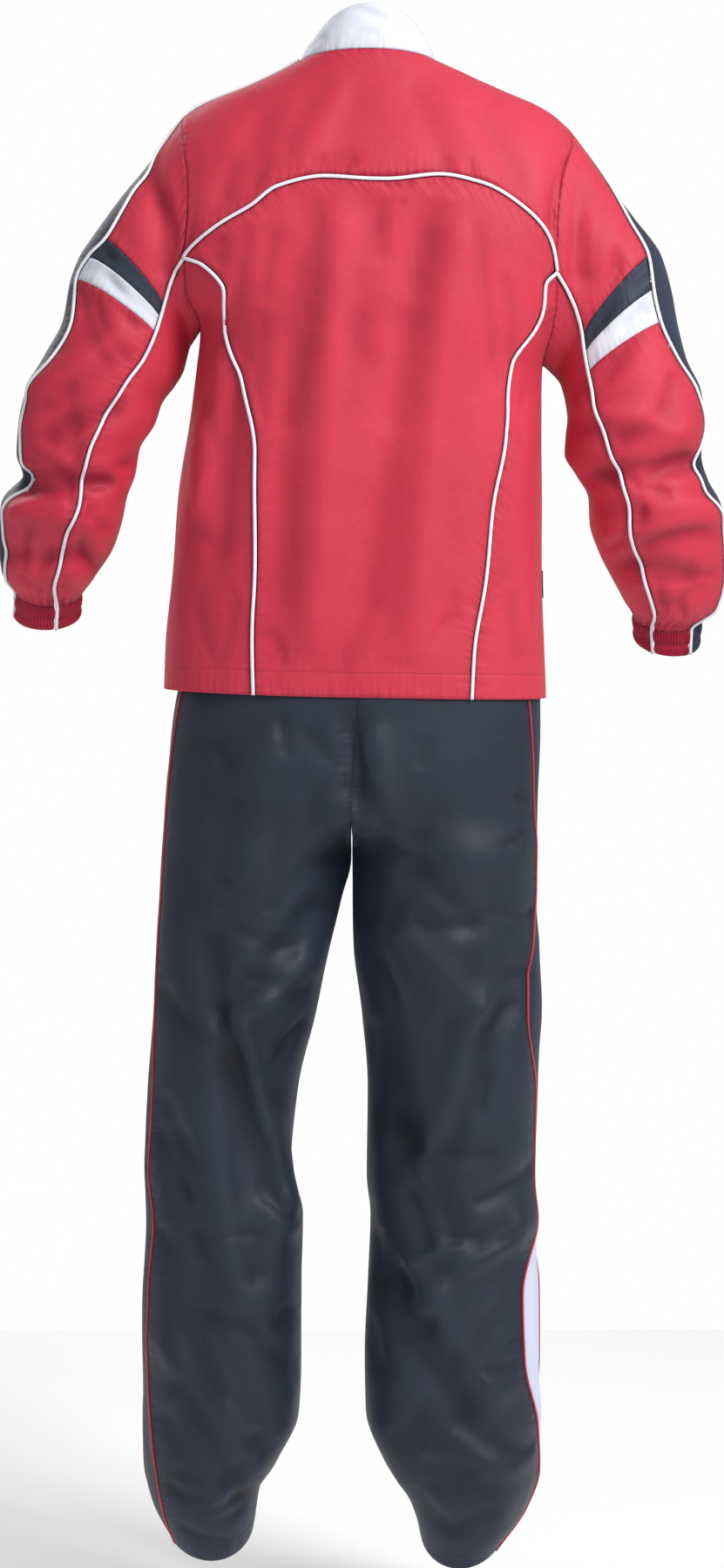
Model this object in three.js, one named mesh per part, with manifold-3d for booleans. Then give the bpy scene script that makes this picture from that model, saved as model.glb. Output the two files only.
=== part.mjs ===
// A two-piece tracksuit as it hangs on a wearer who isn't there: a zipped woven jacket over long trousers.
// Every cut panel is its own thin wall, sewn edge to edge with its neighbours, with a cord of piping in the
// seams that have it. Millimetres, +Z up, +X to the wearer's left, -Y to the front.
// The origin is the middle of the neck opening, level with the tops of the shoulders.
import * as THREE from "three";
import * as BufferGeometryUtils from "three/addons/utils/BufferGeometryUtils.js";
import Module from "manifold-3d";

const WALL = 1.5; // cloth with its turned seam allowance
const SEAM = 0.3; // gap between neighbouring pieces
const PIPING = 4; // white cord in the jacket's seams
const SIDE_PIPING = 3; // red cord down the trousers
const PROUD = 1.3; // how far a cord stands out of the cloth
const CORD_SHOULDER = 0.3;
const CORD_GAP = 0.45; // slack on each side of a cord, which bends along its seam
const ZIP = 8; // visible width of the closed front zip
const ZIP_PROUD = 0.8;
const GATHER_DEPTH = 1.3;
const WAIST_GATHERS = 24;
const LABEL = { level: -555, width: 9, height: 28, thickness: 1 };

const RED = "#c8233f";
const NAVY = "#2b3140";
const WHITE = "#eef0f8";
const BAND = "#3c4252";
const CORD_RED = "#c41f3a";
const STEEL = "#8d9096";

// Level sections of the jacket body from hem to neck. Above the armpits the widths run on under the sleeves.
// Rises lift the back and the front of a section above its side level.
const TORSO = [
  { level: -672, left: 213, right: -198, back: 121, front: 117, square: 2.4, riseBack: 0, riseFront: 0 },
  { level: -620, left: 211, right: -196, back: 123, front: 119, square: 2.4, riseBack: 0, riseFront: 0 },
  { level: -540, left: 203, right: -193, back: 124, front: 120, square: 2.4, riseBack: 0, riseFront: 0 },
  { level: -460, left: 197, right: -193, back: 123, front: 118, square: 2.4, riseBack: 0, riseFront: 0 },
  { level: -380, left: 184, right: -192, back: 124, front: 120, square: 2.4, riseBack: 0, riseFront: 0 },
  { level: -325, left: 177, right: -193, back: 127, front: 123, square: 2.4, riseBack: 0, riseFront: -3 },
  { level: -285, left: 173, right: -216, back: 129, front: 124, square: 2.4, riseBack: 0, riseFront: -10 },
  { level: -245, left: 205, right: -238, back: 130, front: 123, square: 2.4, riseBack: 0, riseFront: -20 },
  { level: -200, left: 226, right: -250, back: 129, front: 119, square: 2.4, riseBack: 0, riseFront: -32 },
  { level: -150, left: 232, right: -254, back: 124, front: 111, square: 2.35, riseBack: 0, riseFront: -46 },
  { level: -110, left: 227, right: -248, back: 115, front: 102, square: 2.3, riseBack: 0, riseFront: -58 },
  { level: -72, left: 205, right: -221, back: 100, front: 91, square: 2.25, riseBack: 0, riseFront: -66 },
  { level: -49, left: 176, right: -193, back: 88, front: 83, square: 2.2, riseBack: 0, riseFront: -68 },
  { level: -26, left: 121, right: -141, back: 76, front: 75, square: 2.15, riseBack: 0, riseFront: -67 },
  { level: 0, left: 66, right: -78, back: 62, front: 68, square: 2.1, riseBack: 8, riseFront: -64 },
];
const HEM_LEVEL = -672;
const HEM_TILT = { from: -540, rise: 5 }; // below this level the left side is drawn up

// Each armhole is an egg seen from the side: its top and bottom levels and its half depth. The turns, in
// degrees from its top towards the back, are where the shoulder stripe and the back seams meet it.
const ARMHOLE = {
  left: { top: -56, bottom: -285, depth: 86, stripeFront: -36, stripeBack: 10, seam: 111 },
  right: { top: -72, bottom: -322, depth: 88, stripeFront: -46, stripeBack: -5, seam: 104 },
};
// Where the shoulder stripe meets the neck: angles from the wearer's side, positive to the back.
const NECK_STRIPE = { left: { front: -27, back: 9 }, right: { front: -33, back: -3 } };

// Yoke seam across the back, from the left armhole to the right.
const YOKE = [
  { x: 148, z: -178 },
  { x: 116, z: -160 },
  { x: 88, z: -140 },
  { x: 40, z: -130 },
  { x: -25, z: -133 },
  { x: -80, z: -128 },
  { x: -124, z: -136 },
  { x: -170, z: -162 },
  { x: -195, z: -190 },
];
// Curved seams from each armhole down the back.
const BACK_SEAM = {
  left: [
    { x: 168, z: -219 },
    { x: 145, z: -243 },
    { x: 144, z: -286 },
    { x: 128, z: -340 },
    { x: 112, z: -415 },
    { x: 112, z: -515 },
    { x: 115, z: -610 },
    { x: 114, z: -672 },
  ],
  right: [
    { x: -192, z: -240 },
    { x: -185, z: -280 },
    { x: -153, z: -347 },
    { x: -149, z: -405 },
    { x: -137, z: -472 },
    { x: -130, z: -547 },
    { x: -118, z: -620 },
    { x: -115, z: -672 },
  ],
};

// Stand collar: its top edge, from which the wall slopes down to the neck seam.
const COLLAR_TOP = { mid: -9, half: 54, back: 49, front: 60, side: 30, riseBack: 27, riseFront: -52, bulge: 3 };

// Rings of each sleeve below the armhole: their outer and inner edges, the depth centre and half depth, and the
// lean of the ring, which lowers its back. Stripe and seam are the turns of the two piped seams behind.
const SLEEVE = {
  left: [
    { outX: 265, outZ: -158, inX: 184, inZ: -298, y: 3, depth: 79, lean: -18, stripe: 46, seam: 121 },
    { outX: 288, outZ: -190, inX: 186, inZ: -305, y: 4, depth: 77, lean: -20, stripe: 50, seam: 124 },
    { outX: 303, outZ: -212, inX: 188, inZ: -313, y: 5, depth: 75, lean: -19, stripe: 42, seam: 125 },
    { outX: 312, outZ: -236, inX: 191, inZ: -324, y: 6, depth: 73, lean: -16, stripe: 34, seam: 124 },
    { outX: 319, outZ: -275, inX: 201, inZ: -342, y: 8, depth: 71, lean: -10, stripe: 39, seam: 121 },
    { outX: 340, outZ: -313, inX: 214, inZ: -361, y: 9, depth: 70, lean: -4, stripe: 40, seam: 116 },
    { outX: 361, outZ: -351, inX: 222, inZ: -385, y: 9, depth: 69, lean: 2, stripe: 28, seam: 110 },
    { outX: 369, outZ: -386, inX: 238, inZ: -411, y: 7, depth: 68, lean: 8, stripe: 26, seam: 105 },
    { outX: 371, outZ: -414, inX: 243, inZ: -438, y: 3, depth: 66, lean: 13, stripe: 30, seam: 101 },
    { outX: 365, outZ: -438, inX: 252, inZ: -461, y: -4, depth: 63, lean: 17, stripe: 28, seam: 99 },
    { outX: 388, outZ: -468, inX: 258, inZ: -487, y: -14, depth: 63, lean: 20, stripe: 25, seam: 98 },
    { outX: 393, outZ: -506, inX: 268, inZ: -515, y: -29, depth: 59, lean: 22, stripe: 30, seam: 98 },
    { outX: 391, outZ: -538, inX: 287, inZ: -543, y: -44, depth: 51, lean: 24, stripe: 30, seam: 99 },
    { outX: 377, outZ: -563, inX: 306, inZ: -567, y: -57, depth: 36, lean: 25, stripe: 14, seam: 108 },
    { outX: 379, outZ: -591, inX: 308, inZ: -591, y: -69, depth: 36, lean: 25, stripe: 8, seam: 108 },
  ],
  right: [
    { outX: -289, outZ: -170, inX: -208, inZ: -331, y: 3, depth: 81, lean: -19, stripe: 36, seam: 122 },
    { outX: -319, outZ: -211, inX: -212, inZ: -336, y: 4, depth: 78, lean: -22, stripe: 47, seam: 128 },
    { outX: -329, outZ: -246, inX: -215, inZ: -345, y: 5, depth: 76, lean: -20, stripe: 52, seam: 130 },
    { outX: -336, outZ: -280, inX: -218, inZ: -358, y: 6, depth: 74, lean: -16, stripe: 50, seam: 130 },
    { outX: -346, outZ: -316, inX: -220, inZ: -377, y: 8, depth: 72, lean: -10, stripe: 38, seam: 127 },
    { outX: -362, outZ: -350, inX: -218, inZ: -397, y: 9, depth: 71, lean: -4, stripe: 25, seam: 121 },
    { outX: -367, outZ: -384, inX: -217, inZ: -417, y: 8, depth: 70, lean: 3, stripe: 14, seam: 115 },
    { outX: -363, outZ: -415, inX: -229, inZ: -438, y: 4, depth: 68, lean: 9, stripe: 22, seam: 112 },
    { outX: -372, outZ: -443, inX: -243, inZ: -463, y: -3, depth: 66, lean: 14, stripe: 30, seam: 112 },
    { outX: -388, outZ: -472, inX: -245, inZ: -491, y: -12, depth: 64, lean: 18, stripe: 26, seam: 114 },
    { outX: -394, outZ: -507, inX: -255, inZ: -519, y: -25, depth: 62, lean: 20, stripe: 22, seam: 115 },
    { outX: -396, outZ: -541, inX: -270, inZ: -547, y: -39, depth: 58, lean: 22, stripe: 24, seam: 114 },
    { outX: -392, outZ: -573, inX: -285, inZ: -573, y: -53, depth: 48, lean: 24, stripe: 34, seam: 115 },
    { outX: -370, outZ: -594, inX: -296, inZ: -590, y: -63, depth: 37, lean: 25, stripe: 50, seam: 120 },
    { outX: -369, outZ: -622, inX: -298, inZ: -616, y: -75, depth: 37, lean: 25, stripe: 50, seam: 118 },
  ],
};
const STRIPE_TURN = 74; // how far the sleeve's stripe reaches round from its back edge
const CAP_STEPS = 3; // stations from the armhole to a sleeve's first ring
const BAND_DARK = 4; // station at which the dark sleeve band starts
const BAND_WHITE = 5;
const BAND_END = 6;

// Level sections of the trousers from the waistband down to the fork. Stripe is the turn of the piped seam.
const HIPS = [
  { level: -556, left: 166, right: -160, back: 104, front: 96, square: 2.3, stripeLeft: 20, stripeRight: 33 },
  { level: -596, left: 170, right: -164, back: 106, front: 98, square: 2.3, stripeLeft: 20, stripeRight: 33 },
  { level: -636, left: 187, right: -182, back: 112, front: 103, square: 2.35, stripeLeft: 20, stripeRight: 33 },
  { level: -672, left: 199, right: -191, back: 118.6, front: 107, square: 2.4, stripeLeft: 20, stripeRight: 32 },
  { level: -735, left: 208, right: -191, back: 121, front: 108, square: 2.4, stripeLeft: 18, stripeRight: 25 },
  { level: -798, left: 213, right: -190, back: 117, front: 106, square: 2.35, stripeLeft: 16, stripeRight: 20 },
];
const WAISTBAND_LEVEL = -596;

// Rings of each leg below the fork, as the sleeves' rings. Stripe is the turn of the piped seam behind.
const LEG = {
  left: [
    { outX: 215, outZ: -838, inX: 12, inZ: -852, y: 5, depth: 106, lean: 0, stripe: 15 },
    { outX: 218, outZ: -885, inX: 22, inZ: -893, y: 5, depth: 102, lean: 0, stripe: 15 },
    { outX: 223, outZ: -945, inX: 35, inZ: -945, y: 5, depth: 99, lean: 0, stripe: 17 },
    { outX: 227, outZ: -1020, inX: 50, inZ: -1020, y: 4, depth: 95, lean: 0, stripe: 18 },
    { outX: 231, outZ: -1100, inX: 69, inZ: -1100, y: 2, depth: 91, lean: 0, stripe: 22 },
    { outX: 234, outZ: -1185, inX: 77, inZ: -1185, y: 0, depth: 89, lean: 0, stripe: 19 },
    { outX: 233, outZ: -1243, inX: 64, inZ: -1240, y: 2, depth: 91, lean: 0, stripe: 26 },
    { outX: 237, outZ: -1320, inX: 66, inZ: -1320, y: 4, depth: 92, lean: 0, stripe: 23 },
    { outX: 239, outZ: -1400, inX: 66, inZ: -1398, y: 2, depth: 93, lean: 1, stripe: 25 },
    { outX: 240, outZ: -1465, inX: 69, inZ: -1460, y: -4, depth: 95, lean: 3, stripe: 31 },
    { outX: 238, outZ: -1515, inX: 88, inZ: -1503, y: -15, depth: 97, lean: 7, stripe: 39 },
    { outX: 231, outZ: -1550, inX: 111, inZ: -1540, y: -28, depth: 98, lean: 12, stripe: 44 },
    { outX: 217, outZ: -1578, inX: 119, inZ: -1588, y: -42, depth: 93, lean: 17, stripe: 44 },
  ],
  right: [
    { outX: -190, outZ: -838, inX: 10, inZ: -852, y: 5, depth: 106, lean: 0, stripe: 14 },
    { outX: -189, outZ: -885, inX: 10, inZ: -893, y: 5, depth: 102, lean: 0, stripe: 12 },
    { outX: -192, outZ: -945, inX: 9, inZ: -945, y: 5, depth: 99, lean: 0, stripe: 25 },
    { outX: -194, outZ: -1020, inX: 0, inZ: -1020, y: 4, depth: 96, lean: 0, stripe: 34 },
    { outX: -191, outZ: -1100, inX: -6, inZ: -1100, y: 2, depth: 94, lean: 0, stripe: 17 },
    { outX: -188, outZ: -1194, inX: -5, inZ: -1194, y: 0, depth: 92, lean: 0, stripe: 12 },
    { outX: -191, outZ: -1243, inX: -9, inZ: -1240, y: 2, depth: 93, lean: 0, stripe: 12 },
    { outX: -192, outZ: -1315, inX: -6, inZ: -1315, y: 4, depth: 94, lean: 0, stripe: 38 },
    { outX: -193, outZ: -1390, inX: -3, inZ: -1388, y: 2, depth: 95, lean: 1, stripe: 36 },
    { outX: -196, outZ: -1460, inX: -4, inZ: -1455, y: -4, depth: 96, lean: 3, stripe: 21 },
    { outX: -195, outZ: -1515, inX: -24, inZ: -1510, y: -15, depth: 98, lean: 7, stripe: 12 },
    { outX: -183, outZ: -1556, inX: -52, inZ: -1556, y: -28, depth: 98, lean: 12, stripe: 18 },
    { outX: -160, outZ: -1584, inX: -64, inZ: -1598, y: -42, depth: 94, lean: 17, stripe: 46 },
  ],
};
const LEG_STRIPE_TURN = 40; // how far the side stripe reaches forward from its back edge
const WHITE_RING = 5; // leg ring at which the right stripe turns white

// The largest folds, drawn where they lie seen from behind or from the front. A positive height is a ridge.
const JACKET_FOLDS = [
  { side: 1, x1: 72, z1: -215, x2: 88, z2: -560, width: 17, height: -7 },
  { side: 1, x1: 25, z1: -190, x2: 52, z2: -600, width: 19, height: 7 },
  { side: 1, x1: -10, z1: -160, x2: 8, z2: -330, width: 14, height: -5 },
  { side: 1, x1: -62, z1: -200, x2: -4, z2: -560, width: 20, height: -8 },
  { side: 1, x1: -92, z1: -190, x2: -55, z2: -600, width: 18, height: 6 },
  { side: 1, x1: 150, z1: -330, x2: 172, z2: -470, width: 18, height: 8 },
  { side: 1, x1: 130, z1: -300, x2: 150, z2: -520, width: 13, height: -7 },
  { side: 1, x1: -165, z1: -380, x2: -172, z2: -600, width: 16, height: 6 },
  { side: 1, x1: 100, z1: -70, x2: 140, z2: -150, width: 14, height: -6 },
  { side: 1, x1: 20, z1: -30, x2: 55, z2: -100, width: 13, height: 6 },
  { side: 1, x1: -55, z1: -40, x2: -90, z2: -110, width: 15, height: -5 },
  { side: 1, x1: -130, z1: -70, x2: -165, z2: -140, width: 13, height: -6 },
  { side: 1, x1: 225, z1: -110, x2: 205, z2: -220, width: 13, height: -8 },
  { side: 1, x1: -215, z1: -110, x2: -228, z2: -230, width: 13, height: -8 },
  { side: 1, x1: 330, z1: -392, x2: 262, z2: -372, width: 12, height: -8 },
  { side: 1, x1: 345, z1: -345, x2: 268, z2: -300, width: 14, height: 6 },
  { side: 1, x1: 372, z1: -442, x2: 270, z2: -448, width: 11, height: -10 },
  { side: 1, x1: 368, z1: -478, x2: 285, z2: -486, width: 14, height: 7 },
  { side: 1, x1: 376, z1: -522, x2: 300, z2: -528, width: 12, height: -6 },
  { side: 1, x1: -352, z1: -428, x2: -250, z2: -440, width: 12, height: -9 },
  { side: 1, x1: -335, z1: -392, x2: -240, z2: -370, width: 14, height: 7 },
  { side: 1, x1: -375, z1: -480, x2: -270, z2: -500, width: 15, height: 6 },
  { side: 1, x1: -350, z1: -545, x2: -285, z2: -535, width: 12, height: -8 },
  { side: -1, x1: 80, z1: -200, x2: 60, z2: -600, width: 19, height: 6 },
  { side: -1, x1: 120, z1: -240, x2: 118, z2: -560, width: 17, height: -7 },
  { side: -1, x1: -75, z1: -210, x2: -60, z2: -590, width: 18, height: -6 },
  { side: -1, x1: -125, z1: -260, x2: -110, z2: -600, width: 18, height: 6 },
  { side: -1, x1: 330, z1: -410, x2: 250, z2: -430, width: 13, height: -9 },
  { side: -1, x1: 350, z1: -480, x2: 280, z2: -500, width: 14, height: 6 },
  { side: -1, x1: -335, z1: -400, x2: -240, z2: -430, width: 13, height: -9 },
  { side: -1, x1: -360, z1: -480, x2: -270, z2: -505, width: 15, height: 6 },
];
const TROUSER_FOLDS = [
  { side: 1, x1: 10, z1: -700, x2: 11, z2: -765, width: 15, height: -8 },
  { side: 1, x1: -12, z1: -715, x2: -45, z2: -830, width: 15, height: 6 },
  { side: 1, x1: 95, z1: -720, x2: 120, z2: -860, width: 20, height: 7 },
  { side: 1, x1: 40, z1: -900, x2: 150, z2: -1010, width: 17, height: -8 },
  { side: 1, x1: 62, z1: -960, x2: 165, z2: -1050, width: 17, height: 8 },
  { side: 1, x1: 160, z1: -930, x2: 110, z2: -1290, width: 17, height: -8 },
  { side: 1, x1: 110, z1: -1040, x2: 80, z2: -1240, width: 16, height: 8 },
  { side: 1, x1: 200, z1: -1150, x2: 170, z2: -1330, width: 18, height: -7 },
  { side: 1, x1: 205, z1: -1370, x2: 120, z2: -1500, width: 19, height: 9 },
  { side: 1, x1: 190, z1: -1410, x2: 130, z2: -1540, width: 15, height: -8 },
  { side: 1, x1: -60, z1: -860, x2: -120, z2: -905, width: 18, height: -9 },
  { side: 1, x1: -40, z1: -930, x2: -125, z2: -1000, width: 18, height: 7 },
  { side: 1, x1: -165, z1: -970, x2: -90, z2: -1150, width: 17, height: -8 },
  { side: 1, x1: -130, z1: -1010, x2: -60, z2: -1180, width: 17, height: 7 },
  { side: 1, x1: -30, z1: -1130, x2: -95, z2: -1230, width: 18, height: -8 },
  { side: 1, x1: -170, z1: -1240, x2: -60, z2: -1330, width: 18, height: 8 },
  { side: 1, x1: -30, z1: -1300, x2: -110, z2: -1440, width: 19, height: -9 },
  { side: 1, x1: -55, z1: -1280, x2: -140, z2: -1420, width: 17, height: 8 },
  { side: 1, x1: -160, z1: -1500, x2: -70, z2: -1480, width: 15, height: 7 },
  { side: -1, x1: 9, z1: -690, x2: 11, z2: -765, width: 16, height: -6 },
  { side: -1, x1: 130, z1: -900, x2: 120, z2: -1150, width: 19, height: 8 },
  { side: -1, x1: 180, z1: -1180, x2: 100, z2: -1260, width: 18, height: -8 },
  { side: -1, x1: 120, z1: -1330, x2: 170, z2: -1500, width: 19, height: 8 },
  { side: -1, x1: -90, z1: -900, x2: -95, z2: -1150, width: 19, height: 8 },
  { side: -1, x1: -40, z1: -1190, x2: -140, z2: -1260, width: 18, height: -8 },
  { side: -1, x1: -70, z1: -1330, x2: -120, z2: -1500, width: 19, height: 8 },
];

// Rows and columns of the panels. Neighbours share the count along their seam.
const BODY_ROWS = 16;
const FRONT_ARM_ROWS = 6;
const YOKE_ROWS = 5;
const SHOULDER_ROWS = 3;
const UNDER_COLUMNS = 3;
const STRIPE_COLUMNS = 3;
const BACK_COLUMNS = 12;
const FRONT_COLUMNS = 6;
const COLLAR_ROWS = 3;
const CHEST_LEVEL = -300; // where the front panels' rows change from the side seam to the armhole
const CUFF_COLUMNS = { stripe: 10, back: 14, front: 28 };
const LEG_COLUMNS = { back: 8, stripe: 2, front: 5 };
const LEG_STEP = 0.5;

const radians = THREE.MathUtils.degToRad;
const lerp = THREE.MathUtils.lerp;
const QUARTER = Math.PI / 2;
const power = (value, exponent) => Math.sign(value) * Math.abs(value) ** exponent;
const spread = (from, to, count) => Array.from({ length: count + 1 }, (_, i) => lerp(from, to, i / count));
const AXES = ["x", "y", "z"];

// A smooth curve through y at each x that never overshoots, straight on past its ends.
function curve(xs, ys) {
  const last = xs.length - 1;
  const secant = (i) => (ys[i + 1] - ys[i]) / (xs[i + 1] - xs[i]);
  const slopes = xs.map((_, i) => {
    if (i === 0 || i === last) return secant(i === 0 ? 0 : last - 1);
    const before = secant(i - 1);
    const after = secant(i);
    return before * after > 0 ? (2 * before * after) / (before + after) : 0;
  });
  return (x) => {
    if (x <= xs[0]) return ys[0] + slopes[0] * (x - xs[0]);
    if (x >= xs[last]) return ys[last] + slopes[last] * (x - xs[last]);
    let i = 0;
    while (x > xs[i + 1]) i++;
    const step = xs[i + 1] - xs[i];
    const t = (x - xs[i]) / step;
    const start = ys[i] * (1 + 2 * t) + slopes[i] * step * t;
    const end = ys[i + 1] * (3 - 2 * t) - slopes[i + 1] * step * (1 - t);
    return start * (1 - t) ** 2 + end * t ** 2;
  };
}

// Every column of a table of level sections as a smooth curve of the level.
function sections(table) {
  const rows = [...table].sort((a, b) => a.level - b.level);
  const levels = rows.map((row) => row.level);
  const names = Object.keys(table[0]);
  return Object.fromEntries(names.map((name) => [name, curve(levels, rows.map((row) => row[name]))]));
}
const torso = sections(TORSO);
torso.tilt = (level) => {
  const share = THREE.MathUtils.inverseLerp(HEM_TILT.from, HEM_LEVEL, level);
  return HEM_TILT.rise * THREE.MathUtils.clamp(share, 0, 1);
};
const hips = sections(HIPS);

// How far the folds on one side move the cloth outwards at a place seen from behind or in front.
function relief(folds, facing, x, z) {
  const side = Math.sign(facing);
  let sum = 0;
  for (const f of folds) {
    if (f.side !== side) continue;
    const dx = f.x2 - f.x1;
    const dz = f.z2 - f.z1;
    const along = ((x - f.x1) * dx + (z - f.z1) * dz) / (dx * dx + dz * dz);
    const t = THREE.MathUtils.clamp(along, 0, 1);
    const off = Math.hypot(x - f.x1 - t * dx, z - f.z1 - t * dz) / f.width;
    sum += f.height * Math.exp(-off * off);
  }
  return sum * THREE.MathUtils.smoothstep(Math.abs(facing), 0.08, 0.45);
}

// A point of a level section: angle 0 is the wearer's left side and a quarter turn is the middle of the back.
function sectionPoint(shape, folds, [angle, level]) {
  const c = Math.cos(angle);
  const s = Math.sin(angle);
  const e = 2 / shape.square(level);
  const half = (shape.left(level) - shape.right(level)) / 2;
  const depth = s > 0 ? shape.back(level) : shape.front(level);
  const rise = shape.riseBack ? (s > 0 ? shape.riseBack(level) : shape.riseFront(level)) : 0;
  const tilt = shape.tilt ? shape.tilt(level) : 0;
  const point = new THREE.Vector3(
    (shape.left(level) + shape.right(level)) / 2 + half * power(c, e),
    depth * power(s, e),
    level + rise * Math.abs(s) ** 1.5 + tilt * c,
  );
  const out = new THREE.Vector3(power(c, 2 - e) / half, power(s, 2 - e) / depth, 0).normalize();
  return point.addScaledVector(out, relief(folds, s, point.x, point.z));
}
const torsoPoint = (place) => sectionPoint(torso, JACKET_FOLDS, place);

// The angle and level of the place on the jacket's back that lies at x and z.
function backPlace({ x, z }) {
  let level = z;
  let angle = QUARTER;
  for (let i = 0; i < 4; i++) {
    const half = (torso.left(level) - torso.right(level)) / 2;
    const middle = (torso.left(level) + torso.right(level)) / 2;
    const share = THREE.MathUtils.clamp((x - middle) / half, -1, 1);
    angle = Math.acos(power(share, torso.square(level) / 2));
    level += z - sectionPoint(torso, [], [angle, level]).z;
  }
  return [angle, Math.max(level, HEM_LEVEL)];
}

// The place at a turn round an armhole, in degrees from its top towards the back. It remembers its turn.
function armholePlace(side, turn) {
  const hole = ARMHOLE[side];
  const level = lerp(hole.bottom, hole.top, (1 + Math.cos(radians(turn))) / 2);
  const y = hole.depth * Math.sin(radians(turn));
  const depth = y > 0 ? torso.back(level) : torso.front(level);
  const angle = Math.sign(y) * Math.asin((Math.abs(y) / depth) ** (torso.square(level) / 2));
  return [side === "left" ? angle : Math.PI - angle, level, side, turn];
}

// Outward direction of the jacket body. On an armhole it is halfway to the sleeve's, so both walls meet.
function torsoOutward([angle, level, side, turn]) {
  const step = 0.004;
  const across = torsoPoint([angle + step, level]).sub(torsoPoint([angle - step, level]));
  const up = torsoPoint([angle, level + 1]).sub(torsoPoint([angle, level - 1]));
  const out = across.cross(up).normalize();
  if (!side) return out;
  const rim = (t) => torsoPoint(armholePlace(side, t));
  const rise = rim(turn).sub(ringPoint(SLEEVE[side][0], turn));
  const sleeveOut = rim(turn + 1).sub(rim(turn - 1)).cross(rise).normalize();
  return out.addScaledVector(sleeveOut, side === "left" ? 1 : -1).normalize();
}
const torsoNode = (place) => ({ p: torsoPoint(place), n: torsoOutward(place) });

// Places spaced evenly along a smooth line through the given places on the jacket body.
function seamLine(places, count) {
  const lengths = [0];
  for (let i = 1; i < places.length; i++)
    lengths.push(lengths[i - 1] + torsoPoint(places[i]).distanceTo(torsoPoint(places[i - 1])));
  const angle = curve(lengths, places.map((p) => p[0]));
  const level = curve(lengths, places.map((p) => p[1]));
  const line = spread(0, lengths.at(-1), count).map((at) => [angle(at), level(at)]);
  return [places[0], ...line.slice(1, -1), places.at(-1)];
}

// Fills the four edges of a patch with a grid of places: rows from bottom to top, columns from left to right.
function patch({ bottom, top, left, right }) {
  const m = left.length - 1;
  const n = bottom.length - 1;
  return left.map((_, j) =>
    bottom.map((_, i) => {
      if (i === 0) return left[j];
      if (i === n) return right[j];
      if (j === 0) return bottom[i];
      if (j === m) return top[i];
      return [0, 1].map((k) => {
        const across = lerp(left[j][k], right[j][k], i / n);
        const up = lerp(bottom[i][k], top[i][k], j / m);
        const low = lerp(bottom[0][k], bottom[n][k], i / n);
        const high = lerp(top[0][k], top[n][k], i / n);
        return across + up - lerp(low, high, j / m);
      });
    }),
  );
}

// A ring's edge point: turn 0 is its outer edge and a quarter turn is its back.
function ringPoint(ring, turn) {
  const c = Math.cos(radians(turn));
  const s = Math.sin(radians(turn)) * ring.depth;
  const lean = radians(ring.lean);
  return new THREE.Vector3(
    lerp(ring.inX, ring.outX, (1 + c) / 2),
    ring.y + s * Math.cos(lean),
    lerp(ring.inZ, ring.outZ, (1 + c) / 2) - s * Math.sin(lean),
  );
}

// The stations down a limb. Each gives a point and a facing for a turn, and the turns of its seams.
function ringStation(ring, seams) {
  return {
    ...seams,
    point: (turn) => ringPoint(ring, turn),
    facing: (turn) => Math.sin(radians(turn)),
  };
}
function sleeveStations(side) {
  const hole = ARMHOLE[side];
  const seams = (stripe, reach, seam) => ({
    stripeFront: stripe - reach,
    stripeBack: stripe,
    seam,
    under: 180,
    around: stripe - reach + 360,
  });
  const first = SLEEVE[side][0];
  const cap = spread(0, 1, CAP_STEPS)
    .slice(0, -1)
    .map((t) => ({
      ...seams(
        lerp(hole.stripeBack, first.stripe, t),
        lerp(hole.stripeBack - hole.stripeFront, STRIPE_TURN, t),
        lerp(hole.seam, first.seam, t),
      ),
      point: (turn) => torsoPoint(armholePlace(side, turn)).lerp(ringPoint(first, turn), t),
      facing: (turn) => t * Math.sin(radians(turn)),
    }));
  const rings = SLEEVE[side].map((ring) => ringStation(ring, seams(ring.stripe, STRIPE_TURN, ring.seam)));
  return [...cap, ...rings];
}
function legStations(side) {
  const seams = (stripe) => ({
    inseamFront: -180,
    stripeFront: stripe - LEG_STRIPE_TURN,
    stripeBack: stripe,
    inseamBack: 180,
  });
  const hipAngle = (turn, square) => {
    const share = (1 + Math.cos(radians(turn))) / 2;
    const reached = Math.acos(share ** (square / 2));
    const angle = Math.sign(turn) * (Math.abs(turn) > 180 ? Math.PI - reached : reached);
    return side === "left" ? angle : Math.PI - angle;
  };
  const upper = HIPS.filter((section) => section.level <= WAISTBAND_LEVEL).map((section) => ({
    ...seams(side === "left" ? section.stripeLeft : section.stripeRight),
    point: (turn) => sectionPoint(hips, [], [hipAngle(turn, section.square), section.level]),
    facing: (turn) => Math.sin(hipAngle(turn, section.square)),
  }));
  return [...upper, ...LEG[side].map((ring) => ringStation(ring, seams(ring.stripe)))];
}

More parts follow.
